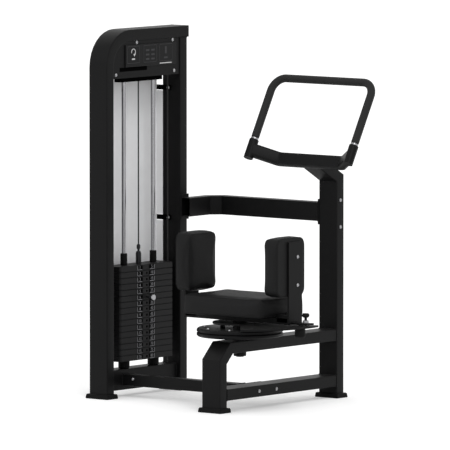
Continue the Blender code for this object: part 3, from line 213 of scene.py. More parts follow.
def new_tree(name, kind, inputs, outputs):
    """An empty node tree with named sockets, and the outputs of its input node."""
    tree = bpy.data.node_groups.new(name, kind)
    for side, sockets in (("INPUT", inputs), ("OUTPUT", outputs)):
        for label, socket in sockets.items():
            tree.interface.new_socket(label, in_out=side, socket_type="NodeSocket" + socket)
    return tree, node(tree, "NodeGroupInput").outputs


def maths(tree, operation, first, second, clamp=False):
    """The result of a maths node on sockets or numbers."""
    return node(tree, "ShaderNodeMath", {0: first, 1: second}, operation=operation,
                use_clamp=clamp).outputs[0]


def noise(tree, vector, scale, detail=2.0, roughness=0.5):
    """A noise value on a vector."""
    return node(tree, "ShaderNodeTexNoise", {"Vector": vector, "Scale": scale, "Detail": detail,
                                             "Roughness": roughness}).outputs[0]


def mask_group(name, outputs, **inputs):
    """An empty shader group with its sockets, its given values and the object's coordinates."""
    tree, given = new_tree(name, "ShaderNodeTree", inputs, dict.fromkeys(outputs, "Float"))
    return tree, given, node(tree, "ShaderNodeTexCoord").outputs["Object"]


# --- Shared effects ---

@cache
def coat_grain():
    """Fine orange peel of a coat, with a slow change of tone over the surface."""
    tree, given, place = mask_group("coat_grain", ("Height", "Tone"), Scale="Float")
    node(tree, "NodeGroupOutput", {"Height": noise(tree, place, given["Scale"]),
                                   "Tone": noise(tree, place, 7.0, 3.0)})
    return tree


@cache
def edge_wear():
    """A mask of the edges that hands and feet rub."""
    tree, given, place = mask_group("edge_wear", ("Mask",), Radius="Float", Amount="Float")
    rounded = node(tree, "ShaderNodeBevel", {"Radius": given["Radius"]}, samples=4).outputs[0]
    flat = node(tree, "ShaderNodeNewGeometry").outputs["Normal"]
    turn = node(tree, "ShaderNodeVectorMath", {0: rounded, 1: flat}, operation="DOT_PRODUCT")
    edge = maths(tree, "SUBTRACT", 1.0, turn.outputs["Value"])
    patch = maths(tree, "SUBTRACT", noise(tree, place, 38.0, 4.0, 0.65), 0.42)
    edge, patch = (maths(tree, "MULTIPLY", value, 5.0, clamp=True) for value in (edge, patch))
    worn = maths(tree, "MULTIPLY", edge, patch)
    node(tree, "NodeGroupOutput", {"Mask": maths(tree, "MULTIPLY", worn, given["Amount"])})
    return tree


@cache
def settled_dust():
    """A mask of the dust that lies on upward faces."""
    tree, given, place = mask_group("settled_dust", ("Mask",), Amount="Float")
    normal = node(tree, "ShaderNodeNewGeometry").outputs["Normal"]
    level = node(tree, "ShaderNodeSeparateXYZ", {0: normal}).outputs["Z"]
    upward = maths(tree, "MULTIPLY", maths(tree, "SUBTRACT", level, 0.6), 2.5, clamp=True)
    lying = maths(tree, "MULTIPLY", upward, noise(tree, place, 24.0, 5.0, 0.6))
    node(tree, "NodeGroupOutput", {"Mask": maths(tree, "MULTIPLY", lying, given["Amount"])})
    return tree


@cache
def vinyl_pebble():
    """The pebbled grain of a vinyl cover: cells with creases, over soft wrinkles."""
    tree, given, place = mask_group("vinyl_pebble", ("Height", "Tone"), Cells="Float")
    cells = node(tree, "ShaderNodeTexVoronoi", {"Vector": place, "Scale": given["Cells"]},
                 feature="DISTANCE_TO_EDGE")
    crease = maths(tree, "MULTIPLY", cells.outputs["Distance"], 3.5, clamp=True)
    height = maths(tree, "ADD", maths(tree, "MULTIPLY", crease, 0.6),
                   maths(tree, "MULTIPLY", noise(tree, place, 30.0, 4.0, 0.55), 0.5))
    node(tree, "NodeGroupOutput", {"Height": height, "Tone": noise(tree, place, 11.0, 3.0)})
    return tree


@cache
def foam_pores():
    """The fine pores of closed-cell foam."""
    tree, given, place = mask_group("foam_pores", ("Height", "Tone"), Cells="Float")
    pores = node(tree, "ShaderNodeTexVoronoi", {"Vector": place, "Scale": given["Cells"]},
                 feature="F1")
    node(tree, "NodeGroupOutput", {"Height": pores.outputs["Distance"],
                                   "Tone": noise(tree, place, 14.0, 4.0)})
    return tree


@cache
def polish_lines():
    """Fine scratches along a polished or turned surface."""
    tree, given, place = mask_group("polish_lines", ("Height", "Tone"), Along="Vector")
    stretch = node(tree, "ShaderNodeVectorMath", {0: place, 1: given["Along"]},
                   operation="MULTIPLY")
    node(tree, "NodeGroupOutput", {"Height": noise(tree, stretch.outputs[0], 1.0, 3.0),
                                   "Tone": noise(tree, place, 16.0)})
    return tree


# --- Materials ---

WEAR_RADIUS = 0.0015
DUST = (0.16, 0.155, 0.15)


def grey(level, blue=None):
    """A grey, with its blue set apart where it is a little cooler."""
    return (level, level, level if blue is None else blue)


def tones(colour, low, high):
    """A colour made darker and lighter."""
    return tuple(tuple(min(1.0, c * factor) for c in colour) for factor in (low, high))


def mix_colour(tree, factor, first, second):
    """A mix of two colours, each a tuple or a socket."""
    item = node(tree, "ShaderNodeMix", data_type="RGBA")
    tree.links.new(factor, next(s for s in item.inputs if s.type == "VALUE"))
    sockets = [index for index, s in enumerate(item.inputs) if s.type == "RGBA"]
    feed(tree, item, {index: (*value, 1) if isinstance(value, tuple) else value
                      for index, value in zip(sockets, (first, second))})
    return next(s for s in item.outputs if s.type == "RGBA")


def new_material(name):
    """A material, its node tree and its shader."""
    material = bpy.data.materials.new(name)
    material.use_nodes = True
    return material, material.node_tree, material.node_tree.nodes["Principled BSDF"]


def surface(name, grain, values, pair, rough, bumps, specular=0.5, metallic=0.0, laid=()):
    """A material: two tones, the ends of its roughness, and its grain's strength and depth.

    grain is the group of its grain, with its values. laid holds the masks over the base colour,
    each with its group, that group's values and the colour that it lays on.
    """
    material, tree, shader = new_material(name)
    marks = node(tree, "ShaderNodeGroup", values, node_tree=grain()).outputs
    base = mix_colour(tree, marks["Tone"], *pair)
    for effect, amounts, colour in laid:
        mask = node(tree, "ShaderNodeGroup", amounts, node_tree=effect()).outputs["Mask"]
        base = mix_colour(tree, mask, base, colour)
    if isinstance(rough, tuple):
        rough = node(tree, "ShaderNodeMapRange", {"Value": marks["Tone"], "To Min": rough[0],
                                                  "To Max": rough[1]}).outputs[0]
    relief = node(tree, "ShaderNodeBump", {"Strength": bumps[0], "Distance": bumps[1],
                                           "Height": marks["Height"]})
    feed(tree, shader, {
        "Base Color": base, "Roughness": rough, "Specular IOR Level": specular,
        "Metallic": metallic, "Normal": relief.outputs[0]})
    return material


def coated(name, colour, worn, roughness, grain, specular, dust=0.10, wear=0.5, height=0.25):
    """A coated or moulded surface, with rubbed edges and a little dust."""
    return surface(name, coat_grain, {"Scale": grain}, tones(colour, 0.82, 1.18),
                   (roughness - 0.06, roughness + 0.08), (height, 0.0002), specular,
                   laid=((edge_wear, {"Radius": WEAR_RADIUS, "Amount": wear}, worn),
                         (settled_dust, {"Amount": dust}, DUST)))


def metal(name, colour, rough, along, strength):
    """Bare or plated metal with its polishing lines."""
    return surface(name, polish_lines, {"Along": along}, tones(colour, 0.90, 1.06), rough,
                   (strength, 0.00006), metallic=1.0)


def paint(name, colour, roughness, specular=0.2):
    """Printed ink, thread or shade with a slight change of tone."""
    return surface(name, coat_grain, {"Scale": 1400}, tones(colour, 0.85, 1.1), roughness,
                   (0.1, 0.0001), specular)


def finishes():
    """The maker and the values of each slot's finish and of each added mark's."""
    coat, vinyl = settings().coat, tuple(settings().cushion.vinyl)
    steel, ink = tuple(settings().fastener.steel), tuple(settings().stack.ink)
    turned = (50, 50, 1400)
    return {
        "frame_black": (coated, "powder_coat", tuple(coat.colour), tuple(coat.worn),
                        coat.roughness, coat.grain, 0.095),
        "foot_rubber": (coated, "moulded_rubber", grey(0.0035), grey(0.012), 0.62, 420, 0.09,
                        0.06, 0.3),
        "stack_black": (coated, "plate_paint", grey(0.0055, 0.0058), grey(0.016), 0.46, 520, 0.13,
                        0.06, 0.4),
        "placard_black": (coated, "placard_gloss", grey(0.0040, 0.0043), grey(0.02), 0.32, 900,
                          0.12, 0.03, 0.3, 0.08),
        "cable_black": (coated, "cable_sleeve", grey(0.0070), grey(0.02), 0.40, 900, 0.3, 0.0, 0.2),
        "sheave_black": (coated, "sheave_nylon", grey(0.009), grey(0.03), 0.48, 500, 0.25, 0.1,
                         0.5),
        "vinyl_black": (surface, "vinyl_cover", vinyl_pebble, {"Cells": 620},
                        tones(vinyl, 0.85, 1.2), (0.50, 0.62), (0.35, 0.0004), 0.14, 0.0,
                        ((settled_dust, {"Amount": 0.025}, grey(0.12)),)),
        "foam_black": (surface, "foam_sleeve", foam_pores, {"Cells": 900},
                       tones(grey(0.0085), 0.8, 1.25), (0.62, 0.78), (0.4, 0.0004), 0.28),
        "shroud_grey": (surface, "guard_sheet", polish_lines, {"Along": (160, 160, 3)},
                        (grey(0.80, 0.81), grey(0.89, 0.90)), (0.30, 0.42), (0.08, 0.0001)),
        "chrome": (metal, "chrome_plate", grey(0.31, 0.32), (0.12, 0.20), (60, 60, 900), 0.05),
        "machined_steel": (metal, "turned_steel", grey(0.30, 0.31), (0.26, 0.38), turned, 0.25),
        "black_steel": (metal, "black_steel", grey(0.030, 0.032), (0.34, 0.46), turned, 0.2),
        "bolt_steel": (metal, "bolt_steel", steel, (0.22, 0.34), (300, 300, 300), 0.2),
        "mark_ink": (paint, "mark_ink", ink, 0.5),
        "faint_ink": (paint, "faint_ink", tuple(c * 0.20 for c in ink), 0.5, 0.1),
        "bright_ink": (paint, "bright_ink", grey(0.55), 0.4),
        "thread": (paint, "thread", grey(0.017), 0.7),
        # Near-black with almost no sheen: the colour of the stack's label strips, and painted shade
        # on the guard brackets, the rods' clamp strip and the band under the placard.
        "recess": (paint, "recess_black", grey(0.0012), 0.9, 0.01),
    }


@cache
def material_for(look):
    """The finish of a record slot or of an added mark."""
    maker, *values = finishes()[look]
    return maker(*values)


# --- Mesh helpers ---

def place_object(name, data):
    """A new object in the scene."""
    item = bpy.data.objects.new(name, data)
    bpy.context.scene.collection.objects.link(item)
    return item


def add_piece(name, mesh, look, body, slot, *nodes, fill=None):
    """A piece with its finish, riding a body, standing for the nodes that it hides; its slot is not
    used.
    """
    mesh.name = name
    mesh.materials.clear()
    mesh.materials.append(material_for(look))
    piece = place_object(name, mesh)
    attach(piece, body)
    if nodes:
        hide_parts(*nodes)
    return piece


def baked(helper):
    """The mesh of a helper object as its modifiers leave it, after which the helper goes."""
    bpy.context.view_layer.update()
    graph = bpy.context.evaluated_depsgraph_get()
    mesh = bpy.data.meshes.new_from_object(helper.evaluated_get(graph))
    bpy.data.objects.remove(helper, do_unlink=True)
    return mesh


def modified(mesh, kind, **values):
    """A mesh as one modifier leaves it."""
    helper = place_object("helper", mesh)
    modifier = helper.modifiers.new("step", kind)
    for key, value in values.items():
        setattr(modifier, key, value)
    return baked(helper)


def finished(builder):
    """The mesh of a builder, which is freed."""
    mesh = bpy.data.meshes.new("built")
    builder.to_mesh(mesh)
    builder.free()
    return mesh


def merged(mesh, outwards=True):
    """A mesh with its doubles merged and, where asked, its faces turned outwards."""
    builder = bmesh.new()
    builder.from_mesh(mesh)
    bmesh.ops.remove_doubles(builder, verts=builder.verts, dist=WELD_DISTANCE)
    if outwards:
        bmesh.ops.recalc_face_normals(builder, faces=builder.faces)
    return finished(builder)


def joined(meshes):
    """Several meshes as one."""
    builder = bmesh.new()
    for mesh in meshes:
        builder.from_mesh(mesh)
    return finished(builder)


def shell_of(rings):
    """A closed mesh over rings of points, with a face at each end."""
    builder = bmesh.new()
    loops = [[builder.verts.new(point) for point in ring] for ring in rings]
    for lower, upper in zip(loops, loops[1:]):
        for i in range(len(lower)):
            j = (i + 1) % len(lower)
            builder.faces.new((lower[i], lower[j], upper[j], upper[i]))
    builder.faces.new(loops[0][::-1])
    builder.faces.new(loops[-1])
    return finished(builder)


def slab(low, high, bevel=0.0):
    """A box mesh between two corners, bevelled where asked."""
    low, high = Vector(low), Vector(high)
    builder = bmesh.new()
    bmesh.ops.create_cube(builder, size=1)
    bmesh.ops.scale(builder, vec=high - low, verts=builder.verts)
    bmesh.ops.translate(builder, vec=(low + high) / 2, verts=builder.verts)
    if bevel:
        bmesh.ops.bevel(builder, geom=builder.edges[:], offset=bevel, segments=2,
                        affect="EDGES", profile=0.5)
    return finished(builder)


def tube_along(points, radius, sides=8, cyclic=False, swell=None):
    """A mesh tube along points; swell is each point's share of the radius."""
    curve = bpy.data.curves.new("run", "CURVE")
    curve.dimensions = "3D"
    spline = curve.splines.new("POLY")
    spline.points.add(len(points) - 1)
    for index, point in enumerate(points):
        spline.points[index].co = (*point, 1)
        spline.points[index].radius = swell[index] if swell else 1.0
    spline.use_cyclic_u = cyclic
    curve.bevel_depth = radius
    curve.bevel_resolution = sides // 2 - 2
    curve.use_fill_caps = not cyclic
    mesh = merged(baked(place_object("run", curve)))
    mesh.shade_smooth()
    return mesh


def round_rectangle(half_x, half_y, corner, steps):
    """Corner points of a rounded rectangle, anticlockwise."""
    points = []
    for quarter, (sx, sy) in enumerate(((1, 1), (-1, 1), (-1, -1), (1, -1))):
        for step in range(steps + 1):
            angle = (quarter + step / steps) * QUARTER
            points.append((sx * (half_x - corner) + corner * math.cos(angle),
                           sy * (half_y - corner) + corner * math.sin(angle)))
    return points


def skin_tree(mesh):
    """A search tree of a mesh's faces."""
    return BVHTree.FromPolygons([v.co for v in mesh.vertices], [p.vertices for p in mesh.polygons])


OWN_LOOK = {"selector_rod": "black_steel"}
GUARD_BRACKETS = tuple(name for name in frame["nodes"] if name.endswith("guard_bracket"))
# The guard's brackets take the flat near-black, darker than the coat: painted shade.
OWN_LOOK.update(dict.fromkeys(GUARD_BRACKETS, "recess"))


def smoothed_copy(source_node):
    """A copy of a node with welded corners, round faces smooth and flat faces flat."""
    mesh = merged(frame["nodes"][source_node].data, outwards=False)
    if mesh.has_custom_normals:
        mesh.attributes.remove(mesh.attributes["custom_normal"])
    mesh.shade_smooth()
    mesh.set_sharp_from_angle(angle=SMOOTH_ANGLE)
    slot = SLOT_OF[source_node]
    return add_piece(source_node + "_finish", modified(mesh, "WEIGHTED_NORMAL", keep_sharp=True),
                     OWN_LOOK.get(source_node, slot), BODY_OF[source_node], slot, source_node)


def smooth_all(*slots):
    """A smoothed copy of every node of some slots."""
    for name, slot in SLOT_OF.items():
        if slot in slots:
            smoothed_copy(name)


# --- Geometry Nodes trees ---

def spread_on(tree, given, points, shape, facing, size):
    """End a tree with a shape on each point, turned to its facing, real and with its material."""
    turn = node(tree, "FunctionNodeAlignRotationToVector", {"Vector": facing}, axis="Z")
    copies = node(tree, "GeometryNodeInstanceOnPoints", {
        "Points": points, "Instance": shape, "Rotation": turn.outputs[0], "Scale": size})
    real = node(tree, "GeometryNodeRealizeInstances", {0: copies.outputs[0]})
    coat = node(tree, "GeometryNodeSetMaterial", {"Geometry": real.outputs[0],
                                                  "Material": given["Material"]})
    node(tree, "NodeGroupOutput", {0: coat.outputs[0]})
    return tree


@cache
def fastener_set():
    """One head on each point, turned to face along the point's facing direction."""
    tree, given = new_tree("fastener_set", "GeometryNodeTree", {
        "Geometry": "Geometry", "Head": "Object", "Size": "Float", "Material": "Material"},
        {"Geometry": "Geometry"})
    head = node(tree, "GeometryNodeObjectInfo", {"Object": given["Head"]})
    facing = node(tree, "GeometryNodeInputNamedAttribute", {"Name": "facing"},
                  data_type="FLOAT_VECTOR")
    return spread_on(tree, given, given["Geometry"], head.outputs["Geometry"],
                     next(s for s in facing.outputs if s.type == "VECTOR"), given["Size"])


@cache
def bead_run():
    """Small beads at an even pitch along lines: stitches, or the ripples of a weld."""
    tree, given = new_tree("bead_run", "GeometryNodeTree", {
        "Geometry": "Geometry", "Pitch": "Float", "Radius": "Float", "Reach": "Float",
        "Material": "Material"}, {"Geometry": "Geometry"})
    line = node(tree, "GeometryNodeMeshToCurve", {0: given["Geometry"]})
    points = node(tree, "GeometryNodeCurveToPoints", {"Curve": line.outputs[0],
                                                      "Length": given["Pitch"]}, mode="LENGTH")
    bead = node(tree, "GeometryNodeMeshUVSphere", {"Segments": 8, "Rings": 5, "Radius": 1.0})
    size = node(tree, "ShaderNodeCombineXYZ", {"X": given["Radius"], "Y": given["Radius"],
                                               "Z": given["Reach"]})
    return spread_on(tree, given, points.outputs["Points"], bead.outputs["Mesh"],
                     points.outputs["Tangent"], size.outputs[0])


def run_tree(tree, carrier, **values):
    """The plain mesh that a geometry tree makes on a carrier mesh."""
    helper = place_object("carrier", carrier)
    modifier = helper.modifiers.new("tree", "NODES")
    modifier.node_group = tree
    for socket in tree.interface.items_tree:
        if socket.in_out == "INPUT" and socket.name in values:
            modifier[socket.identifier] = values[socket.name]
    mesh = baked(helper)
    mesh.shade_smooth()
    return mesh


def beads_along(paths, pitch, radius, share, look):
    """Beads along closed paths; share is half a bead's length as a share of the pitch."""
    mesh = bpy.data.meshes.new("lines")
    points, edges = [], []
    for path in paths:
        first, count = len(points), len(path)
        points += [tuple(point) for point in path]
        edges += [(first + i, first + i + 1) for i in range(count - 1)]
        edges.append((first + count - 1, first))
    mesh.from_pydata(points, edges, [])
    return run_tree(bead_run(), mesh, Pitch=pitch, Radius=radius, Reach=pitch * share,
                    Material=material_for(look))


# --- Cushions ---

PAD_FILL = 0.75
CORNER_STEPS = 6
LEAST_CORNER = 0.004
SIDE_BULGE = 0.0008
SEAM_STEP = 0.012
SEAM_FROM_EDGE = 0.45
STITCH_OFF_SEAM = 0.0055
STITCH_RADIUS = 0.0005
STITCH_SHARE = 0.36
PRESSURE = 2.0
CLOTH_STIFFNESS = 25


def padded_blank(size, corner, edge, crown):
    """A cushion's blank: a rounded outline in layers, round at its upper edge, flat below."""
    half_x, half_y, height = size[0] / 2, size[1] / 2, size[2]
    layers = [(0.0, edge * 0.35), (edge * 0.30, edge * 0.08), (edge * 0.8, 0.0),
              (height * 0.5, -SIDE_BULGE), (height - edge, 0.0)]
    for turn in (step / 5 * QUARTER for step in range(1, 6)):
        layers.append((height - edge + edge * math.sin(turn), edge * (1 - math.cos(turn))))
    rings = [[(x, y, level) for x, y in
              round_rectangle(half_x - inset, half_y - inset, max(corner - inset, LEAST_CORNER),
                              CORNER_STEPS)] for level, inset in layers]
    rim = rings[-1]
    for share in (0.9, 0.7, 0.45, 0.2):
        rise = crown * (1 - share ** 2)
        rings.append([(x * share, y * share, height + rise) for x, y, _ in rim])
    return shell_of(rings)


def swollen(mesh, values):
    """A pad's mesh pushed out by cloth pressure, each point by no more than the swell."""
    rest = [vertex.co.copy() for vertex in mesh.vertices]
    pad = place_object("pad", mesh)
    held = pad.vertex_groups.new(name="held")
    held.add([i for i, co in enumerate(rest) if co.z < values.voxel * 0.6], 1.0, "REPLACE")
    cloth = pad.modifiers.new("filling", "CLOTH")
    cloth.settings.use_pressure = True
    cloth.settings.uniform_pressure_force = PRESSURE
    cloth.settings.effector_weights.gravity = 0.0
    cloth.settings.vertex_group_mass = "held"
    cloth.settings.quality = 5
    cloth.settings.tension_stiffness = CLOTH_STIFFNESS
    cloth.settings.compression_stiffness = CLOTH_STIFFNESS
    cloth.point_cache.frame_start = 1
    cloth.point_cache.frame_end = values.frames
    scene = bpy.context.scene
    for number in range(1, values.frames + 1):
        scene.frame_set(number)
    filled = baked(pad)
    scene.frame_set(1)
    for vertex, moved, start in zip(mesh.vertices, filled.vertices, rest):
        move = moved.co - start
        if move.length > values.swell:
            move *= values.swell / move.length
        vertex.co = start + move
        vertex.co.z = max(vertex.co.z, 0.0)
    return modified(mesh, "SMOOTH", factor=0.5, iterations=6)


def seam_line(tree, half_x, half_y, corner, level):
    """A closed line on the pad's skin that follows its outline at a level."""
    line = []
    corners = round_rectangle(half_x, half_y, corner, 10)
    for start, end in zip(corners, corners[1:] + corners[:1]):
        pieces = max(1, int(math.dist(start, end) / SEAM_STEP))
        for share in (step / pieces for step in range(pieces)):
            x, y = (a + (b - a) * share for a, b in zip(start, end))
            line.append(tree.find_nearest(Vector((x, y, level)))[0])
    return line


def make_pad(name, source_nodes, centre, turn, size, corner, edge, crown):
    """A cushion with its welt and stitches, which stands for the soft node and its board."""
    values = settings().cushion
    inset = values.start_inset
    blank = padded_blank((size[0] - 2 * inset, size[1] - 2 * inset, size[2] - inset), corner,
                         edge, crown)
    skin = modified(blank, "REMESH", mode="VOXEL", voxel_size=values.voxel)
    if values.simulate:
        skin = swollen(skin, values)
    skin = modified(skin, "SUBSURF", levels=1, render_levels=1)
    skin.shade_smooth()
    tree = skin_tree(skin)
    half_x, half_y = size[0] / 2, size[1] / 2
    back = edge * SEAM_FROM_EDGE
    top = max(vertex.co.z for vertex in skin.vertices)
    high = seam_line(tree, half_x - back, half_y - back, corner, top - edge * 0.30)
    low = seam_line(tree, half_x, half_y, corner, back)
    rows = [[tree.find_nearest(point + Vector((0, 0, rise)))[0] for point in line]
            for line, rise in ((high, -STITCH_OFF_SEAM), (low, STITCH_OFF_SEAM))]
    welts = joined([tube_along(line, values.welt, cyclic=True) for line in (high, low)])
    welts.shade_smooth()
    stitches = beads_along(rows, values.stitch_pitch, STITCH_RADIUS, STITCH_SHARE, "thread")
    placed = Matrix.Translation(centre) @ turn.to_4x4()
    for mesh in (skin, welts, stitches):
        mesh.transform(placed)
    add_piece(name, skin, "vinyl_black", "seat", "vinyl_black", *source_nodes, fill=PAD_FILL)
    add_piece(name + "_welt", welts, "vinyl_black", "seat", "vinyl_black")
    add_piece(name + "_stitches", stitches, "thread", "seat", "vinyl_black")


# --- Operators for the frame, the steel and the works ---

class MACHINE_OT_coat_frame(bpy.types.Operator):
    """Smooth and coat the frame's tubes and plates, and its rubber feet, sleeves and brackets."""
    bl_idname = "rotation_machine.coat_frame"
    bl_label = "Coat the frame"

    def execute(self, context):
        smooth_all("frame_black", "foot_rubber")
        return {"FINISHED"}


class MACHINE_OT_polish_steel(bpy.types.Operator):
    """Polish the guide rods, pins, rings and spindle."""
    bl_idname = "rotation_machine.polish_steel"
    bl_label = "Polish the steel"

    def execute(self, context):
        smooth_all("chrome", "machined_steel")
        return {"FINISHED"}


GUARD_FOLD = 0.038
GUARD_NOTCH = 0.002
FOLD_THICKNESS = 0.003
FOLD_BEND = 0.005
ROD_CLAMP_END = 0.0305
ROD_CLAMP_DEPTH = 0.040
ROD_CLAMP_HEIGHT = 0.018


class MACHINE_OT_finish_works(bpy.types.Operator):
    """Give the sheaves, cables, plates, placard, guard and rods' clamp their finish; the clamp's
    near-black is painted shade.
    """
    bl_idname = "rotation_machine.finish_works"
    bl_label = "Finish sheaves, cables, plates and guard"

    def execute(self, context):
        smooth_all("sheave_black")
        smoothed_copy("cable_over_sheaves")
        for name, slot in SLOT_OF.items():
            if slot in ("stack_black", "placard_black"):
                item = frame["nodes"][name]
                item.data.materials.clear()
                item.data.materials.append(material_for(slot))
        self.shorten_cable()
        self.fold_guard()
        self.clamp_rods()
        return {"FINISHED"}

    def shorten_cable(self):
        """A smoothed copy of the upright cable, with a mesh of its own."""
        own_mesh(smoothed_copy("stack_cable"))

    def fold_guard(self):
        """The guard's sheet with both its long edges folded forwards."""
        low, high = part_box("rear_guard")
        thick = high.y - low.y
        front = high.y - GUARD_FOLD
        turns = [QUARTER * step / 5 for step in range(6)]
        outer, inner = [], []
        for side, edge, bends in ((-1, low.x, turns[::-1]), (1, high.x, turns)):
            for points, radius in ((outer, FOLD_BEND), (inner, FOLD_BEND - thick)):
                points += [(edge - side * (FOLD_BEND - radius * math.sin(turn)),
                            high.y - FOLD_BEND + radius * math.cos(turn)) for turn in bends]
        outline = [(low.x, front)] + outer + [(high.x, front), (high.x - thick, front)]
        outline += inner[::-1] + [(low.x + thick, front)]
        mesh = merged(shell_of([[(x, y, z) for x, y in outline] for z in (low.z, high.z)]))
        mesh = self.notch(mesh, high.y - thick)
        mesh.shade_smooth()
        mesh.set_sharp_from_angle(angle=SMOOTH_ANGLE)
        add_piece("rear_guard_sheet", mesh, "shroud_grey", "frame", "shroud_grey", "rear_guard")

    def notch(self, mesh, back):
        """Cut the folds away round each bracket, but not the sheet behind them."""
        room = Vector((2 * FOLD_THICKNESS, GUARD_NOTCH, GUARD_NOTCH))
        for name in GUARD_BRACKETS:
            low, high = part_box(name)
            low, high = low - room, high + room
            high.y = min(high.y, back - 0.0005)
            low.y = min(low.y, back - GUARD_FOLD - GUARD_NOTCH)
            if name.startswith("upper"):
                high.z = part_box("rear_guard")[1].z + GUARD_NOTCH
            cutter = place_object("cutter", slab(low, high))
            mesh = modified(mesh, "BOOLEAN", operation="DIFFERENCE", object=cutter)
            bpy.data.objects.remove(cutter, do_unlink=True)
        return mesh

    def clamp_rods(self):
        """The strip under the rod bar that clamps both rods' upper ends, in flat near-black that
        paints the shade under the panel.
        """
        left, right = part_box("left_guide_rod")[0].x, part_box("right_guide_rod")[1].x
        bar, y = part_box("rod_head_bar")[0].z, middle_of("left_guide_rod").y
        strip = slab((left - ROD_CLAMP_END, y - ROD_CLAMP_DEPTH / 2, bar - ROD_CLAMP_HEIGHT),
                     (right + ROD_CLAMP_END, y + ROD_CLAMP_DEPTH / 2, bar + 0.0002), 0.0015)
        add_piece("rod_clamp_strip", strip, "recess", "frame", "frame_black")


# --- Marks on the stack and the placard ---

RESTING_PLATES = 10
LIFTED_PLATES = 5
MARK_INSET = 0.0032
MARK_PROUD = 0.0010
STRIP_PROUD = 0.0006
COLUMN_HALF = 0.022
NUMBER_RISE = 0.0015
CAPITAL_SHARE = 0.72


class MACHINE_OT_mark_stack(bpy.types.Operator):
    """Number the plates and draw the lines beside their pin holes."""
    bl_idname = "rotation_machine.mark_stack"
    bl_label = "Mark the stack"

    def execute(self, context):
        values = settings().stack
        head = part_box("head_plate")
        middle = middle_of("head_plate").x - values.label_shift
        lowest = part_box("resting_plates")[0].z
        pitch = (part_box(f"weight_plate_{LIFTED_PLATES}")[0].z - lowest) / RESTING_PLATES
        total = RESTING_PLATES + LIFTED_PLATES + 1
        resting = [(lowest + i * pitch, total - i) for i in range(RESTING_PLATES)]
        lifted = [(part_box(f"weight_plate_{i}")[0].z, i + 1) for i in range(LIFTED_PLATES, 0, -1)]
        lifted.append((head[0].z, 1))
        for body, plates in (("frame", resting), ("stack_lift", lifted)):
            made = {"numbers": [], "strips": [], "lines": []}
            for low, number in plates:
                place = (middle, head[0].y, low, low + head[1].z - head[0].z)
                self.add_marks(values, place, number, made)
            for label, meshes in made.items():
                look = "recess" if label == "strips" else "mark_ink"
                add_piece(f"plate_{label}_{body}", joined(meshes), look, body, "stack_black")
        return {"FINISHED"}

    def add_marks(self, values, place, number, made):
        """The strip, the edge lines, the level marks and both numbers of one plate."""
        middle, face, low, high = place
        half = values.label_width / 2
        bottom, top = low + MARK_INSET, high - MARK_INSET
        for side in (-1, 1):
            for label, inner, outer, proud, sunk, end in (
                    ("strips", COLUMN_HALF, half, STRIP_PROUD, 0.001, top),
                    ("lines", half - 0.0030, half - 0.0002, MARK_PROUD, 0, top),
                    ("lines", COLUMN_HALF + 0.004, half - 0.006, MARK_PROUD, 0, bottom + 0.0024)):
                left, right = sorted((middle + side * inner, middle + side * outer))
                made[label].append(slab((left, face - proud, bottom), (right, face + sunk, end)))
            text = str(number if side < 0 else number * values.plate_mass)
            mesh = self.figure(text, values.number_height)
            centre = Vector((middle + side * (half + COLUMN_HALF) / 2, face - STRIP_PROUD,
                             (low + high) / 2 + NUMBER_RISE))
            mesh.transform(Matrix.Translation(centre) @ Matrix.Rotation(QUARTER, 4, "X"))
            made["numbers"].append(mesh)

    def figure(self, text, height):
        """A number as a mesh, centred on the origin."""
        curve = bpy.data.curves.new("figure", "FONT")
        curve.body = text
        curve.size = height / CAPITAL_SHARE
        curve.extrude = 0.0004
        curve.resolution_u = 2
        curve.align_x = "CENTER"
        curve.align_y = "CENTER"
        return baked(place_object("figure", curve))


FIELDS = ((0.030, 0.270), (0.355, 0.605), (0.665, 0.915))
FIELD_RISE = (0.17, 0.93)
FIELD_LINE = 0.0011
BAR_PROUD = 0.0006
SIGN_RADIUS = 0.013
SIGN_LINE = 0.0019
ARROW_PROUD = 0.0012


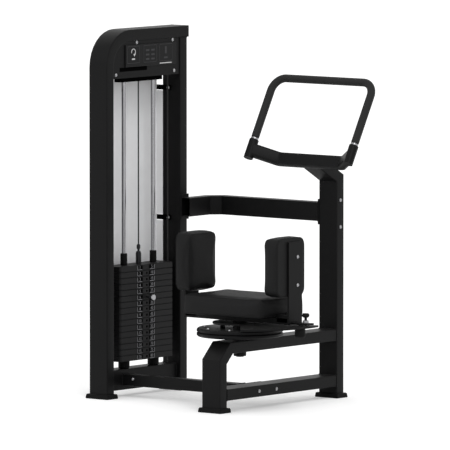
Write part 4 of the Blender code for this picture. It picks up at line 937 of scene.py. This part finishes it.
class MACHINE_OT_dress_placard(bpy.types.Operator):
    """Three framed blank fields, bars and a plain turn sign on the placard, with a painted shadow
    band below it.
    """
    bl_idname = "rotation_machine.dress_placard"
    bl_label = "Dress the placard"

    def execute(self, context):
        low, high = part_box("placard")
        face, width, height = low.y, high.x - low.x, high.z - low.z

        def bar(left, right, bottom, top, proud=BAR_PROUD):
            return slab((left, face - proud, bottom), (right, face, top))

        frames = [self.frame_ring([low.x + share * width for share in field],
                                  [low.z + share * height for share in FIELD_RISE], face)
                  for field in FIELDS]
        bars = []
        cell = 0.25 * width
        for row in range(3):
            for column in range(2):
                x = low.x + 0.355 * width + cell * (0.17 + 0.42 * column)
                z = low.z + height * (0.27 + 0.20 * row)
                bars.append(bar(x, x + cell * 0.26, z, z + 0.0075))
        third = low.x + 0.79 * width
        for half, bottom, top in ((0.006, 0.50, 0.82), (0.012, 0.28, 0.36)):
            bars.append(bar(third - half, third + half, low.z + bottom * height,
                            low.z + top * height))
        signs = [bar(low.x + 0.67 * width, low.x + 0.905 * width, low.z + 0.055 * height,
                     low.z + 0.095 * height, BAR_PROUD + 0.0001)]
        signs += self.turn_sign(low.x + 0.15 * width, low.z + 0.55 * height, face)
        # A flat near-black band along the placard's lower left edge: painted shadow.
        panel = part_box("front_panel")[0].y
        band = slab((low.x - 0.035, panel - BAR_PROUD, low.z - 0.018),
                    (low.x + 0.150, panel, low.z - 0.0005))
        add_piece("placard_shade_band", band, "recess", "frame", "frame_black")
        for label, meshes, look in (("frames", frames, "faint_ink"), ("bars", bars, "faint_ink"),
                                    ("signs", signs, "bright_ink")):
            add_piece(f"placard_{label}", joined(meshes), look, "frame", "placard_black")
        return {"FINISHED"}

    def frame_ring(self, span, rise, face):
        """A thin raised rectangle line."""
        outline = round_rectangle((span[1] - span[0]) / 2, (rise[1] - rise[0]) / 2, 0.004, 3)
        line = [Vector((sum(span) / 2 + x, face, sum(rise) / 2 + z)) for x, z in outline]
        return tube_along(line, FIELD_LINE, 6, cyclic=True)

    def turn_sign(self, x, z, face):
        """A plain arc with an arrowhead, over a bar."""
        arc = [Vector((x + SIGN_RADIUS * math.cos(a), face, z + 0.012 + SIGN_RADIUS * math.sin(a)))
               for a in [math.radians(200 - 250 * i / 16) for i in range(17)]]
        tip = arc[-1]
        head = [[(tip.x + a, face - proud, tip.z + b)
                 for a, b in ((-0.008, 0.001), (0.007, 0.003), (-0.003, -0.010))]
                for proud in (ARROW_PROUD, 0)]
        bar = slab((x - 0.010, face - 0.0008, z - 0.022), (x + 0.010, face, z - 0.016))
        return [tube_along(arc, SIGN_LINE, 6), merged(shell_of(head)), bar]


# --- Cushions and grip ---

SEAT_CROWN_ROOM = 0.006
GUSSET_BELOW = 0.020
GUSSET_ABOVE = 0.014
GUSSET_GAP = 0.0015


class MACHINE_OT_pad_seat(bpy.types.Operator):
    """The seat cushion, both side pads and the gussets of their brackets."""
    bl_idname = "rotation_machine.pad_seat"
    bl_label = "Pad the seat"

    def execute(self, context):
        low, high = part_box("seat_cushion")
        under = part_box("seat_board")[0].z
        make_pad("seat_pad", ("seat_cushion", "seat_board"),
                 Vector((*middle_of("seat_cushion").xy, under)), Matrix.Identity(3),
                 (high.x - low.x, high.y - low.y, high.z - under - SEAT_CROWN_ROOM),
                 corner=0.014, edge=0.006, crown=0.003)
        for side, label in ((-1, "near"), (1, "far")):
            nodes = (label + "_pad_cushion", label + "_pad_board")
            low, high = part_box(nodes[0])
            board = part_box(nodes[1])
            back = board[0].y if side < 0 else board[1].y
            depth = high.y - back if side < 0 else back - low.y
            centre = middle_of(nodes[0])
            centre.y = back
            make_pad(label + "_pad", nodes, centre, Matrix.Rotation(side * QUARTER, 3, "X"),
                     (high.x - low.x, high.z - low.z, depth), corner=0.031, edge=0.007, crown=0.002)
        self.close_bends()
        return {"FINISHED"}

    def close_bends(self):
        """A gusset in each bend where a pad's bracket turns in under the seat."""
        yoke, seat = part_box("seat_yoke"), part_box("seat_cushion")
        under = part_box("seat_board")[0].z
        backs = (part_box("near_pad_board")[0].y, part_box("far_pad_board")[1].y)
        spans = ((backs[0], seat[0].y - GUSSET_GAP), (seat[1].y + GUSSET_GAP, backs[1]))
        gussets = [slab((yoke[0].x, start, under - GUSSET_BELOW),
                        (yoke[1].x, end, under + GUSSET_ABOVE), 0.002) for start, end in spans]
        add_piece("bracket_gussets", joined(gussets), "frame_black", "seat", "frame_black")


HANDLE_TILT = math.radians(29)
HOOP_RADIUS = 0.011
RING_HALF = 0.005
GRIP_GAP = 0.0003
GRIP_RADIUS = 0.0175
GRIP_CORNER = 0.062
GRIP_SHARP = math.radians(50)
GRIP_END = ((0, 0.72), (0.06, 0.86), (0.18, 0.96), (0.4, 1.0))


class MACHINE_OT_wrap_grip(bpy.types.Operator):
    """The foam sleeve round the handle's hoop, with soft ends."""
    bl_idname = "rotation_machine.wrap_grip"
    bl_label = "Wrap the grip"

    def execute(self, context):
        near, far = middle_of("near_grip_ring"), middle_of("far_grip_ring")
        legs = Vector((math.sin(HANDLE_TILT), 0, math.cos(HANDLE_TILT)))
        middle, half = (near + far) / 2, abs(far.y - near.y) / 2
        top = (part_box("handle_hoop")[1].z - HOOP_RADIUS - middle.z) / legs.z
        low = RING_HALF + GRIP_GAP
        side = [(-half, low + share * GRIP_RADIUS) for share, _ in GRIP_END]
        side += [(-half, low + (top - GRIP_CORNER - low) * i / 12) for i in range(1, 12)]
        for turn in (QUARTER * step / 14 for step in range(15)):
            side.append((-half + GRIP_CORNER * (1 - math.cos(turn)),
                         top - GRIP_CORNER * (1 - math.sin(turn))))
        swell = [share for _, share in GRIP_END] + [1.0] * (len(side) - len(GRIP_END))
        flat = side + [(-a, b) for a, b in reversed(side)]
        mesh = tube_along([middle + Vector((0, a, 0)) + legs * b for a, b in flat], GRIP_RADIUS, 28,
                          swell=swell + swell[::-1])
        mesh.set_sharp_from_angle(angle=GRIP_SHARP)
        add_piece("foam_grip", mesh, "foam_black", "frame", "foam_black", "handle_grip", fill=0.9)
        return {"FINISHED"}


# --- Fasteners and welds ---

HEAD_SIDES = 20
HEAD_SHARP = math.radians(40)
HEAD_PROFILE = ((1.25, 0.0), (1.25, 0.16), (1.02, 0.18), (1.0, 0.34), (0.90, 0.58), (0.70, 0.74),
                (0.44, 0.78), (0.42, 0.40))
FRONT, BACK, LEFT, RIGHT, UP = (0, -1, 0), (0, 1, 0), (-1, 0, 0), (1, 0, 0), (0, 0, 1)
TUBE_HALF = 0.025
TUBE_CORNER = 0.005
POST_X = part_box("handle_post")[1].x - TUBE_HALF
PANEL_BOLTS = ((0.210, 1.542), (0.455, 1.542), (0.069, 1.407), (0.465, 1.407))
BEAM_BOLTS = (0.862, 0.745)
RAIL_BOLTS = ((0.140, 0.075), (0.258, 0.075))
BASE_BOLTS = ((0.090, 0.066), (0.220, 0.066))
LINK_BOLT = (0.130, -0.038, 0.082)
GUARD_BOLT_INSET = 0.012
BRACKET_BOLTS = (0.670, 0.549)
BRACKET_BOLT_X = 0.1035
BRACKET_FACE_Y = 0.9736
DISC_BOLTS = 8
DISC_BOLT_CIRCLE = 0.155
FLANGE_THICKNESS = 0.0075
FLANGE_HALF = 0.0415
LINK_X = 0.155
WELD_SHARE = 0.75


def ring_of(radius, count, shift=0.0):
    """Points of a circle, each a pair."""
    return [(radius * math.cos(2 * math.pi * (i + shift) / count),
             radius * math.sin(2 * math.pi * (i + shift) / count)) for i in range(count)]


class MACHINE_OT_fit_fasteners(bpy.types.Operator):
    """Bolt heads on the panel, posts, rails, brackets and the turntable."""
    bl_idname = "rotation_machine.fit_fasteners"
    bl_label = "Fit the fasteners"

    def execute(self, context):
        radius = settings().fastener.head_radius
        shape = shell_of([[(x, y, radius * level) for x, y in ring_of(radius * reach, HEAD_SIDES)]
                          for reach, level in HEAD_PROFILE])
        head = place_object("head", shape)
        for body, bolts in (("frame", self.frame_bolts()), ("seat", self.seat_bolts()),
                            ("turntable", self.disc_bolts())):
            carrier = bpy.data.meshes.new("bolts")
            carrier.from_pydata([place for place, _ in bolts], [], [])
            facing = carrier.attributes.new("facing", "FLOAT_VECTOR", "POINT")
            for item, (_, direction) in zip(facing.data, bolts):
                item.vector = direction
            mesh = run_tree(fastener_set(), carrier, Head=head, Size=1.0,
                            Material=material_for("bolt_steel"))
            mesh.set_sharp_from_angle(angle=HEAD_SHARP)
            add_piece(f"bolts_{body}", mesh, "bolt_steel", body, "machined_steel")
        bpy.data.objects.remove(head, do_unlink=True)
        return {"FINISHED"}

    def frame_bolts(self):
        """The places and facings of the frame's bolts."""
        tower, column_x = TOWER_CORNER, middle_of("right_column").x
        panel, post, rail = (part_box(n)[0].y for n in ("front_panel", "handle_post", "low_rail"))
        column, base = (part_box(n)[1].y for n in ("right_column", "tower_base_rail"))
        bolts = [((tower.x + x, panel, z), FRONT) for x, z in PANEL_BOLTS]
        for z in BEAM_BOLTS:
            bolts += [((POST_X, post, z), FRONT), ((column_x, column, z), BACK)]
        bolts += [((tower.x + x, rail, z), FRONT) for x, z in RAIL_BOLTS]
        bolts += [((tower.x + x, base, z), BACK) for x, z in BASE_BOLTS]
        bolts.append((tuple(tower + Vector(LINK_BOLT)), LEFT))
        for name in GUARD_BRACKETS:
            low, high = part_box(name)
            x, side = (low.x, LEFT) if "right" in name else (high.x, RIGHT)
            bolts.append(((x, low.y + GUARD_BOLT_INSET, middle_of(name).z), side))
        return bolts

    def seat_bolts(self):
        """The places and facings of the bolts through the pads' brackets."""
        near = TOWER_CORNER.y - BRACKET_FACE_Y
        return [((TOWER_CORNER.x + BRACKET_BOLT_X, y, z), side)
                for y, side in ((near, FRONT), (2 * AXIS.y - near, BACK)) for z in BRACKET_BOLTS]

    def disc_bolts(self):
        """The places and facings of the drive disc's bolts."""
        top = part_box("drive_disc")[1].z
        return [((AXIS.x + x, AXIS.y + y, top), UP)
                for x, y in ring_of(DISC_BOLT_CIRCLE, DISC_BOLTS, 0.5)]


class MACHINE_OT_lay_welds(bpy.types.Operator):
    """Weld beads where the frame's tubes meet."""
    bl_idname = "rotation_machine.lay_welds"
    bl_label = "Lay the weld beads"

    def execute(self, context):
        values = settings().coat
        paths = []
        for name in ("low_rail", "tower_base_rail"):
            low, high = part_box(name)
            paths += [self.outline(0, low.x, low, high), self.outline(0, high.x, low, high)]
        low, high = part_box("seat_frame_tube")
        end = Vector((low.x, low.y, high.z - 2 * TUBE_HALF))
        paths.append(self.outline(0, high.x, end, high))
        low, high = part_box("right_column")
        paths.append(self.outline(2, high.z, low, high))
        near, far = (corner.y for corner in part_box("link_tube"))
        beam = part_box("upper_beam")[0].y
        for x, name, y, half in (
                (TOWER_CORNER.x + LINK_X, "link_tube", near + FLANGE_THICKNESS, TUBE_HALF),
                (TOWER_CORNER.x + LINK_X, "link_tube", far, TUBE_HALF),
                (POST_X, "upper_beam", beam + FLANGE_THICKNESS, FLANGE_HALF)):
            centre = Vector((x, 0, middle_of(name).z))
            reach = Vector((TUBE_HALF, 0, half))
            paths.append(self.outline(1, y, centre - reach, centre + reach))
        mesh = beads_along(paths, values.weld_pitch, values.weld_radius, WELD_SHARE, "frame_black")
        add_piece("weld_beads", mesh, "frame_black", "frame", "frame_black")
        return {"FINISHED"}

    def outline(self, axis, level, low, high):
        """A tube's rounded outline between two corners, across an axis at a level on it."""
        first, second = (i for i in range(3) if i != axis)
        centre, half = (low + high) / 2, (high - low) / 2
        ring = []
        for a, b in round_rectangle(half[first], half[second], TUBE_CORNER, 3):
            point = centre.copy()
            point[axis], point[first], point[second] = level, centre[first] + a, centre[second] + b
            ring.append(point)
        return ring


# --- Stage ---

SENSOR = 36
CLIP_END = 200
ANCHOR_PIXEL = (107, 399.7)
LAMPS = (("key", -35, 48, 0.35), ("fill", -110, 25, 0.6))
FLOOR_REACH = 60
FLOOR_STEPS = 12
FLOOR_LEVEL = -0.0005
FLOOR_GLOW = 0.27


def seen_rays(tree):
    """One for camera, glossy and transmission rays, and nought for the rest."""
    path = node(tree, "ShaderNodeLightPath").outputs
    seen = maths(tree, "MAXIMUM", path["Is Camera Ray"], path["Is Glossy Ray"])
    return maths(tree, "MAXIMUM", seen, path["Is Transmission Ray"])


def heading_vector(heading, height):
    """A direction from its heading, counted from -Y, and its height, in radians."""
    return Vector((math.sin(heading) * math.cos(height), -math.cos(heading) * math.cos(height),
                   math.sin(height)))


class MACHINE_OT_set_stage(bpy.types.Operator):
    """Camera, lamps, white room and floor."""
    bl_idname = "rotation_machine.set_stage"
    bl_label = "Set the stage"

    def execute(self, context):
        values = settings().stage
        scene = context.scene
        scene.view_settings.view_transform = "Standard"
        self.place_camera(scene, values)
        self.light_room(scene, values)
        self.lay_floor(values)
        return {"FINISHED"}

    def place_camera(self, scene, values):
        """A long lens that sees the tower's front corner at its anchor pixel."""
        camera = bpy.data.cameras.new("camera")
        holder = place_object("camera", camera)
        camera.sensor_width = SENSOR
        camera.lens = values.focal_pixels / IMAGE_SIDE * SENSOR
        camera.clip_end = CLIP_END
        forward = -heading_vector(-values.azimuth, values.elevation)
        right = Vector((math.cos(values.azimuth), -math.sin(values.azimuth), 0))
        scale = values.focal_pixels / values.distance
        x, y = ((pixel - IMAGE_SIDE / 2) / scale for pixel in ANCHOR_PIXEL)
        target = TOWER_CORNER - right * x + right.cross(forward) * y
        holder.rotation_euler = forward.to_track_quat("-Z", "Y").to_euler()
        holder.location = target - forward * values.distance
        scene.camera = holder

    def light_room(self, scene, values):
        """An even white room that the camera and glossy rays see as white, and two soft lamps."""
        scene.world = bpy.data.worlds.new("room")
        scene.world.use_nodes = True
        tree = scene.world.node_tree
        feed(tree, tree.nodes["Background"], {
            "Color": (1, 1, 1, 1),
            "Strength": maths(tree, "MAXIMUM", seen_rays(tree), values.ambient)})
        for name, heading, height, size in LAMPS:
            lamp = bpy.data.lights.new(name, "SUN")
            lamp.energy = getattr(values, name)
            lamp.angle = size
            towards = heading_vector(math.radians(heading), math.radians(height))
            place_object(name, lamp).rotation_euler = towards.to_track_quat("Z", "Y").to_euler()

    def lay_floor(self, values):
        """A wide pale floor that keeps the shadow and ends in white."""
        mesh = bpy.data.meshes.new("floor")
        row = FLOOR_STEPS + 1
        ticks = [(i / FLOOR_STEPS - 0.5) * 2 * FLOOR_REACH for i in range(row)]
        faces = [(j * row + i, j * row + i + 1, (j + 1) * row + i + 1, (j + 1) * row + i)
                 for j in range(FLOOR_STEPS) for i in range(FLOOR_STEPS)]
        mesh.from_pydata([(x, y, FLOOR_LEVEL) for y in ticks for x in ticks], [], faces)
        material, tree, shader = new_material("floor")
        feed(tree, shader, {
            "Base Color": (*values.floor_colour, 1), "Roughness": 0.9, "Specular IOR Level": 0.0,
            "Emission Color": (1, 1, 1, 1),
            "Emission Strength": maths(tree, "MULTIPLY", seen_rays(tree), FLOOR_GLOW)})
        mesh.materials.append(material)
        place_object("floor", mesh)


# --- Panel and run ---

OPERATORS = (MACHINE_OT_set_stage, MACHINE_OT_coat_frame, MACHINE_OT_polish_steel,
             MACHINE_OT_finish_works, MACHINE_OT_mark_stack, MACHINE_OT_dress_placard,
             MACHINE_OT_pad_seat, MACHINE_OT_wrap_grip, MACHINE_OT_fit_fasteners,
             MACHINE_OT_lay_welds)


class MACHINE_PT_panel(bpy.types.Panel):
    """Steps and settings of the machine."""
    bl_label = "Rotation machine"
    bl_idname = "MACHINE_PT_panel"
    bl_space_type = "VIEW_3D"
    bl_region_type = "UI"
    bl_category = "Machine"

    def draw(self, context):
        values = context.scene.rotation_machine
        for name in ("coat", "cushion", "stack", "fastener", "stage"):
            box = self.layout.box()
            group = getattr(values, name)
            for key in group.__annotations__:
                box.prop(group, key)
        for operator in OPERATORS:
            self.layout.operator(operator.bl_idname)


CLASSES = (CoatSettings, CushionSettings, StackSettings, FastenerSettings, StageSettings,
           MachineSettings) + OPERATORS + (MACHINE_PT_panel,)


def register():
    """Register the classes and the scene's settings."""
    for item in CLASSES:
        bpy.utils.register_class(item)
    bpy.types.Scene.rotation_machine = PointerProperty(
        type=MachineSettings, name="Rotation machine", description="Settings of the machine")


def unregister():
    """Remove the settings and the classes."""
    del bpy.types.Scene.rotation_machine
    for item in reversed(CLASSES):
        bpy.utils.unregister_class(item)


def main():
    """Dress the whole machine."""
    register()
    for operator in OPERATORS:
        name = operator.bl_idname.split(".")[1]
        getattr(bpy.ops.rotation_machine, name)()


if __name__ == "__main__":
    main()
